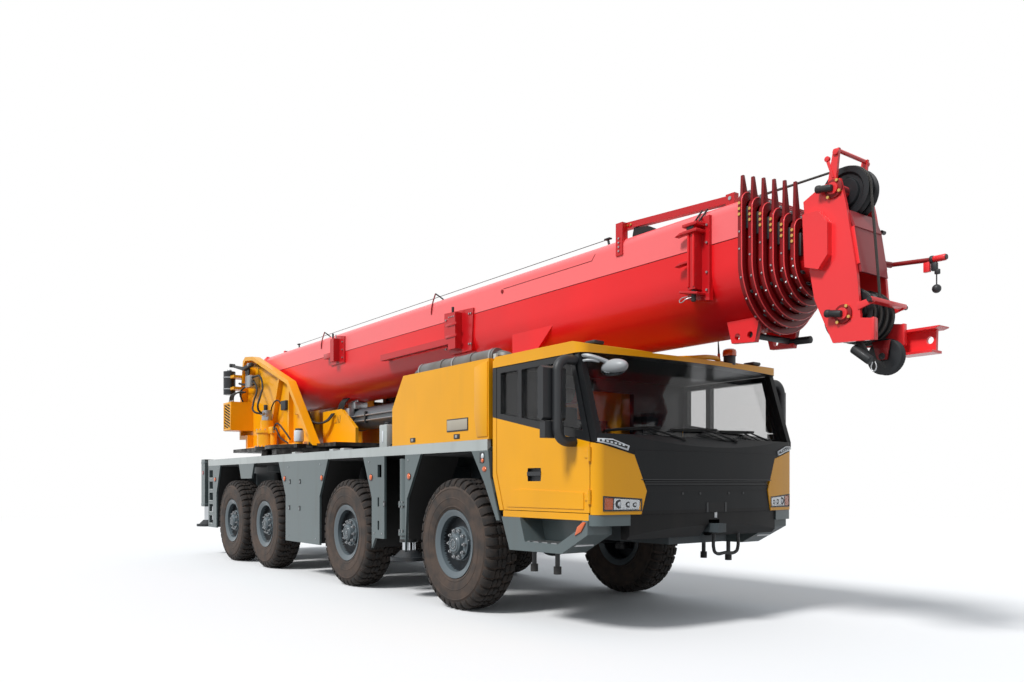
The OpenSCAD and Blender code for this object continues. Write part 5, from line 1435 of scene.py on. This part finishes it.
for height in (3.24, 3.36, 3.48):
    for station in (-4.78, -4.41):
        base.bolt("y", (station, height), -BOOM_HALF - 0.018, -BOOM_HALF - 0.036, 0.012)
base.block((-4.96, -BOOM_HALF - 0.085, 3.27), (-4.62, -BOOM_HALF - 0.015, 3.35), bracket_shade_red, bevel=0.008)
base.pin("z", (-4.58, -STOW_Y + 0.02), 3.53, 3.62, 0.014, black_paint)
base.pin("z", (-4.54, -STOW_Y + 0.05), 3.53, 3.60, 0.010, bolt_steel)
# Line guides on the top edge, the thin line between them, and the fittings of the shoulder tube
for station in (-5.20, -1.81):
    base.pipe([(station - 0.03, -BOOM_HALF - 0.004, 3.48), (station - 0.01, -BOOM_HALF - 0.006, 3.58),
               (station, -0.46, 3.745)], 0.009, seam_red)
    base.pipe([(station, -0.46, 3.745), (station + 0.05, -0.42, 3.70), (station + 0.10, -0.38, 3.648)],
              0.009, black_paint)
for station in (-6.60, 1.25):
    base.rod((station, LINE_Y, BOOM_TOP - 0.004), (station - 0.03, LINE_Y, LINE_Z), 0.012, black_paint)
    base.block((station - 0.07, LINE_Y - 0.02, LINE_Z - 0.004),
               (station + 0.01, LINE_Y + 0.02, LINE_Z + 0.012), black_paint, bevel=0.004)
base.pin("x", (LINE_Y, LINE_Z), -6.62, 1.22, 0.004, black_plastic, sides=8)
for number in range(4):
    station = 1.575 + 0.040 * number
    base.pin("y", (station, 3.768 - 0.0025 * number), -0.447, -0.460, 0.011, brass, sides=6)
for height in (3.52, 3.56, 3.60, 3.64):
    base.bolt("y", (1.595, height), -0.508, -0.522, 0.010)
base.pin("y", (2.855, 3.69), -0.462, -0.385, 0.016, bolt_steel, sides=12)
base.plate([(1.70, 3.648), (2.00, 3.648), (1.90, 3.70), (1.72, 3.725)], "xz", -0.44, -0.40, sealer_and_shade)
base.pin("y", (-0.30, 3.49), -0.508, -0.496, 0.022, seam_red, sides=16)
# Damper of the stowed hook, pinned between the lugs under the front end
base.pin("y", (2.93, 2.56), -0.262, 0.262, 0.027, black_paint, bevel=0.004)
base.rod((2.95, 0.265, 2.555), (3.14, 0.265, 2.548), 0.032, black_paint, bevel=0.006)
base.into("boom_fittings", "boom_base", "boom_red")

# Telescopic sections
# Six lighter boxes slide inside the base. Each ends in a flanged collar that holds black slide pads, set by
# screws with brass heads. The hoist rope lies stretched along the top and is laid out anew on each section.

COLLAR_PITCH = 0.064
SECTION_STEP = 0.05
COLLAR_OUT = 0.038
COLLAR_ROUND = 0.09
COVER_HALF = 0.15
COVER_REAR = 3.7
ROPE_Y = -0.042
ROPE_Z = 3.797


def section_choice(front):
    """1 for the box behind the collar, 2 for the sloping cover in the head; both are darker reds that are
    painted shade.
    """
    def choose(middle, normal):
        if middle.x < front - COLLAR_THICK - 0.004:
            return 1
        return 2 if abs(middle.y) < COVER_HALF and normal.x > 0.6 and middle.x > COVER_REAR else 0
    return choose


def collar_outline(half, low, high):
    """Points round a collar, in Y and Z: round below, straight at the sides, with rounded shoulders."""
    points = [(half * math.cos(math.pi + math.pi * step / 40),
               low + half + half * math.sin(math.pi + math.pi * step / 40)) for step in range(41)]
    for side, first in ((1, 0.0), (-1, math.pi / 2)):
        for step in range(7):
            angle = first + math.pi / 2 * step / 6
            points.append((side * (half - COLLAR_ROUND) + COLLAR_ROUND * math.cos(angle),
                           high - COLLAR_ROUND + COLLAR_ROUND * math.sin(angle)))
    return points + points[:1]


# The thin pink ring at each collar's front edge is a painted highlight.
flange_highlight_red = paint("flange_highlight_red", srgb(246, 74, 78), roughness=0.3, dirt=0.05, coat=0.3)
# The boxes behind the collars are painted darker: a painted shade.
inner_shade_red = paint("inner_section_shade_red", tint(BOOM_RED, 0.6), roughness=0.34, dirt=0.1, coat=0.12)
head_red = paint("head_red", srgb(242, 52, 56), roughness=0.3, dirt=0.04, coat=0.35)
# The cover in the head is painted darker: a painted shade.
cover_shade_red = paint("cover_shade_red", srgb(150, 46, 52), roughness=0.4, dirt=0.06, coat=0.15)
for number in range(1, 8):
    inset = SECTION_STEP * (number - 1)
    front = BASE_FRONT + COLLAR_PITCH * (number - 1)
    body = "boom_base" if number == 1 else f"boom_section_{number}"
    if number > 1:
        dress(body, head_red if number == 7 else collar_shade_red, inner_shade_red, cover_shade_red,
              choose=section_choice(front))
    kit = Shape()
    if number < 7:
        half = BOOM_HALF - inset + COLLAR_OUT
        low = BOOM_LOW + inset - COLLAR_OUT
        high = BOOM_TOP - inset + COLLAR_OUT
        tube = BOOM_HALF - inset - SECTION_STEP
        edge = collar_outline(half - 0.001, low + 0.001, high - 0.001)
        # A ring of painted highlight round the collar's front edge.
        kit.pipe([(front - 0.003, y, z) for y, z in edge], 0.005, flange_highlight_red, sides=6)
        for side in (-1, 1):
            for fall in (0.10, 0.145, 0.19):
                kit.pin("y", (front - 0.022, high - fall), side * (half - 0.004), side * (half + 0.010),
                        0.0135, brass, sides=6)
            pad = sorted((side * (tube + 0.004), side * (tube + 0.034)))
            kit.block((front - 0.004, pad[0], high - 0.30), (front + 0.019, pad[1], high - 0.12),
                      black_plastic, bevel=0.004)
            pad = sorted((side * 0.05, side * (tube - 0.07)))
            kit.block((front - 0.004, pad[0], high - 0.068), (front + 0.017, pad[1], high - 0.034),
                      black_plastic, bevel=0.004)
            kit.pin("x", (side * (half - 0.10), high + 0.008), front - 0.03, front + 0.006, 0.014,
                    bolt_steel, sides=12)
            for fall in (0.33, 0.47):
                kit.bolt("y", (front - 0.022, high - fall), side * (half - 0.004), side * (half + 0.007),
                         0.008)
        for step in range(-4, 5):
            angle = step * math.pi / 9.5
            y, z = half * math.sin(angle), low + half - half * math.cos(angle)
            kit.rod((front - 0.022, y * 0.99, z + 0.006), (front - 0.022, y * 1.012, z - 0.007), 0.008,
                    bolt_steel, sides=6)
        for step in range(-2, 3):
            angle = step * math.pi / 6
            reach = tube + 0.019
            kit.ball((front + 0.008, reach * math.sin(angle),
                      BOOM_LOW + inset + SECTION_STEP + tube - reach * math.cos(angle)),
                     (0.010, 0.034, 0.014), black_plastic, sides=12)
    start = BASE_REAR + 0.13 if number == 1 else BASE_REAR + 0.30 + 0.04 * number
    rope_end = 3.66 if number == 7 else front - 0.01
    kit.pin("x", (ROPE_Y, ROPE_Z), start, rope_end, ROPE_RADIUS - 0.0002 * number, rope_wire, sides=10)
    kit.into(f"collar_fittings_{number}", body, "boom_red")
# The rope's way to the drum: over a roller at the rear edge, round the tube of the boom's foot, and down
FOOT = (SLEW_X + PIVOT_X, PIVOT_Z)
FOOT_BEND = 0.161
ROLLER_RADIUS = 0.03
lead = Shape()
roller = (BASE_REAR + 0.13, ROPE_Z - ROPE_RADIUS - ROLLER_RADIUS)
lead.pin("y", roller, -0.16, 0.16, ROLLER_RADIUS, black_plastic, sides=20)
for y in (-0.17, 0.17):
    lead.plate([(roller[0] - 0.06, BOOM_TOP - 0.004), (roller[0] + 0.06, BOOM_TOP - 0.004),
                (roller[0] + 0.028, roller[1] + 0.028), (roller[0] - 0.028, roller[1] + 0.028)], "xz",
               y - 0.008, y + 0.008, boom_red, bevel=0.003)
way = [(roller[0], ROPE_Y, ROPE_Z), (roller[0] - 0.03, ROPE_Y, ROPE_Z - 0.012),
       (BASE_REAR - 0.02, ROPE_Y, BOOM_TOP + 0.012)]
for step in range(8):
    angle = math.radians(70 + step * 110 / 7)
    way.append((FOOT[0] + FOOT_BEND * math.cos(angle), ROPE_Y, FOOT[1] + FOOT_BEND * math.sin(angle)))
lead.pipe(way, ROPE_RADIUS, rope_wire)
lead.into("rope_lead", "boom_base", "boom_red")
fall = Shape()
fall.pipe([(FOOT[0] - FOOT_BEND, ROPE_Y, FOOT[1]), (DRUM.x - 0.262, ROPE_Y, DRUM.z + 0.06),
           (DRUM.x - 0.262, ROPE_Y, DRUM.z)], ROPE_RADIUS, rope_wire)
fall.into("rope_fall", "turntable", "dark_metal")

# Boom head
# Two red side plates with a row of cast sheaves above and below, each row on one pin that a keeper plate
# locks. The rope comes over the upper row, runs down the front and is reeved through the lower one.

SHEAVE_TOP = (3.66, 3.59)
SHEAVE_LOW = (3.74, 2.61)
SHEAVE_RADIUS = 0.205
HEAD_OUT = 0.218
sheave_iron = paint("sheave_black", srgb(30, 33, 36), roughness=0.42, dirt=0.2, coat=0.1)
dress("sheaves", sheave_iron)
head = Shape()
for centre in (SHEAVE_TOP, SHEAVE_LOW):
    head.pin("y", centre, -HEAD_OUT - 0.014, -HEAD_OUT + 0.002, 0.074, seam_red, sides=32, bevel=0.004)
    head.rod((centre[0] + 0.012, -HEAD_OUT - 0.045, centre[1] - 0.004),
             (centre[0] - 0.115, -HEAD_OUT - 0.045, centre[1] + 0.016), 0.027, black_paint, bevel=0.012)
    head.rod((centre[0] - 0.085, -HEAD_OUT - 0.045, centre[1] + 0.012),
             (centre[0] - 0.125, -HEAD_OUT - 0.045, centre[1] + 0.018), 0.031, black_paint, bevel=0.010)
    for x, z in ((0.035, 0.055), (-0.04, -0.06), (0.055, -0.03)):
        head.pin("y", (centre[0] + x, centre[1] + z), -HEAD_OUT - 0.026, -HEAD_OUT - 0.004, 0.013, brass,
                 sides=6)
head.mirror()
# The rope over the upper row and down the front, and the parts that are reeved round the lower row
bend = SHEAVE_RADIUS - 0.004
path = [(SHEAVE_TOP[0] - 0.02, ROPE_Y, ROPE_Z)]
for step in range(10):
    angle = math.pi / 2 - step * math.pi / 18
    path.append((SHEAVE_TOP[0] + bend * math.cos(angle), ROPE_Y, SHEAVE_TOP[1] + bend * math.sin(angle)))
for step in range(14):
    angle = -step * math.pi / 18
    path.append((SHEAVE_LOW[0] + bend * math.cos(angle), ROPE_Y, SHEAVE_LOW[1] + bend * math.sin(angle)))
head.pipe(path, ROPE_RADIUS, rope_wire)
for y in (-0.126, 0.042, 0.126):
    head.pipe([(SHEAVE_LOW[0] + bend * math.cos(step * math.pi / 18), y,
                SHEAVE_LOW[1] + bend * math.sin(step * math.pi / 18)) for step in range(-13, 9)],
              ROPE_RADIUS, rope_wire)
# The cover between the side plates, in a darker red of painted shade, and the rope keepers: arms above and a
# comb before the lower row
head.plate([(3.752, 3.40), (3.772, 3.404), (3.822, 3.27), (3.80, 3.262)], "xz", -0.186, 0.186, cover_shade_red)
head.plate([(3.842, 2.985), (3.862, 2.985), (3.872, 2.915), (3.852, 2.915)], "xz", -0.186, 0.186, cover_shade_red)
for y in (-0.212, 0.212):
    head.plate([(3.640, 3.68), (3.662, 3.68), (3.612, 3.838), (3.588, 3.83)], "xz", y - 0.007, y + 0.007,
               head_red, bevel=0.002)
    head.pin("y", (3.60, 3.838), y - 0.012, y + 0.012, 0.022, head_red, sides=20, bevel=0.003)
    head.pin("y", (3.675, 3.872), y - 0.016, y + 0.016, 0.024, head_red, sides=20, bevel=0.003)
head.plate([(3.955, 2.655), (3.992, 2.668), (3.990, 2.700), (3.950, 2.690)], "xz", -0.25, 0.25, head_red,
           bevel=0.005)
for y in (-0.245, 0.245):
    head.pin("y", (3.972, 2.678), y - 0.02, y + 0.02, 0.018, black_paint)
for y in (-0.215, 0.215):
    head.plate([(3.86, 2.62), (3.99, 2.66), (3.985, 2.70), (3.85, 2.68)], "xz", y - 0.008, y + 0.008,
               head_red, bevel=0.003)
    head.plate([(3.985, 2.545), (4.005, 2.545), (4.005, 2.375), (3.985, 2.375)], "xz", y - 0.036, y + 0.007,
               head_red, bevel=0.005)
# A small sheave on the underside with its shackle
head.lathe([(0.03, -0.035), (0.125, -0.035), (0.140, -0.030), (0.118, -0.008), (0.118, 0.008),
            (0.140, 0.030), (0.125, 0.035), (0.03, 0.035)], (3.905, 0.10, 2.290), (0, 1, 0), sheave_iron,
           closed=True)
head.pin("y", (3.905, 2.290), 0.03, 0.17, 0.026, black_paint, bevel=0.004)
for y in (0.045, 0.155):
    head.plate([(3.82, 2.41), (3.97, 2.41), (3.945, 2.262), (3.865, 2.262)], "xz", y - 0.008, y + 0.008,
               collar_shade_red, bevel=0.004)
head.rod((3.79, -0.165, 2.345), (3.93, -0.165, 2.235), 0.036, black_paint, bevel=0.008)
head.rod((3.81, -0.13, 2.40), (3.87, -0.13, 2.30), 0.028, black_paint, bevel=0.006)
head.pipe([(3.86, -0.165, 2.29), (3.90, -0.12, 2.25), (3.93, -0.05, 2.24), (3.95, 0.0, 2.20)], 0.010,
          rubber)
head.pipe([(3.945, -0.165, 2.225), (3.935, -0.165, 2.18), (3.955, -0.165, 2.155), (3.975, -0.165, 2.18),
           (3.965, -0.165, 2.225)], 0.005, bolt_steel)
# The switch of the hook's upper limit hangs on a short arm at the left
head.rod((3.755, 0.205, 3.065), (3.80, 0.36, 3.062), 0.024, collar_shade_red)
head.rod((3.78, 0.36, 3.065), (4.12, 0.40, 3.045), 0.018, seam_red)
head.rod((4.12, 0.40, 3.046), (4.215, 0.40, 3.045), 0.026, head_red, bevel=0.006)
head.pin("x", (0.40, 3.045), 4.205, 4.222, 0.020, black_plastic)
head.rod((4.095, 0.40, 3.047), (4.122, 0.40, 3.046), 0.030, black_plastic, bevel=0.006)
head.block((4.045, 0.385, 2.955), (4.095, 0.415, 3.04), head_red, bevel=0.004)
head.block((4.105, 0.382, 2.955), (4.150, 0.418, 3.02), black_plastic, bevel=0.008)
head.block((4.130, 0.386, 2.925), (4.168, 0.414, 2.965), black_plastic, bevel=0.006)
head.pin("z", (4.143, 0.40), 2.945, 2.84, 0.005, black_plastic)
head.ball((4.143, 0.40, 2.815), (0.034, 0.034, 0.034), black_plastic)
head.pin("y", (3.80, 3.30), 0.215, 0.26, 0.016, black_plastic)
head.into("head_fittings", "boom_section_7", "boom_red")
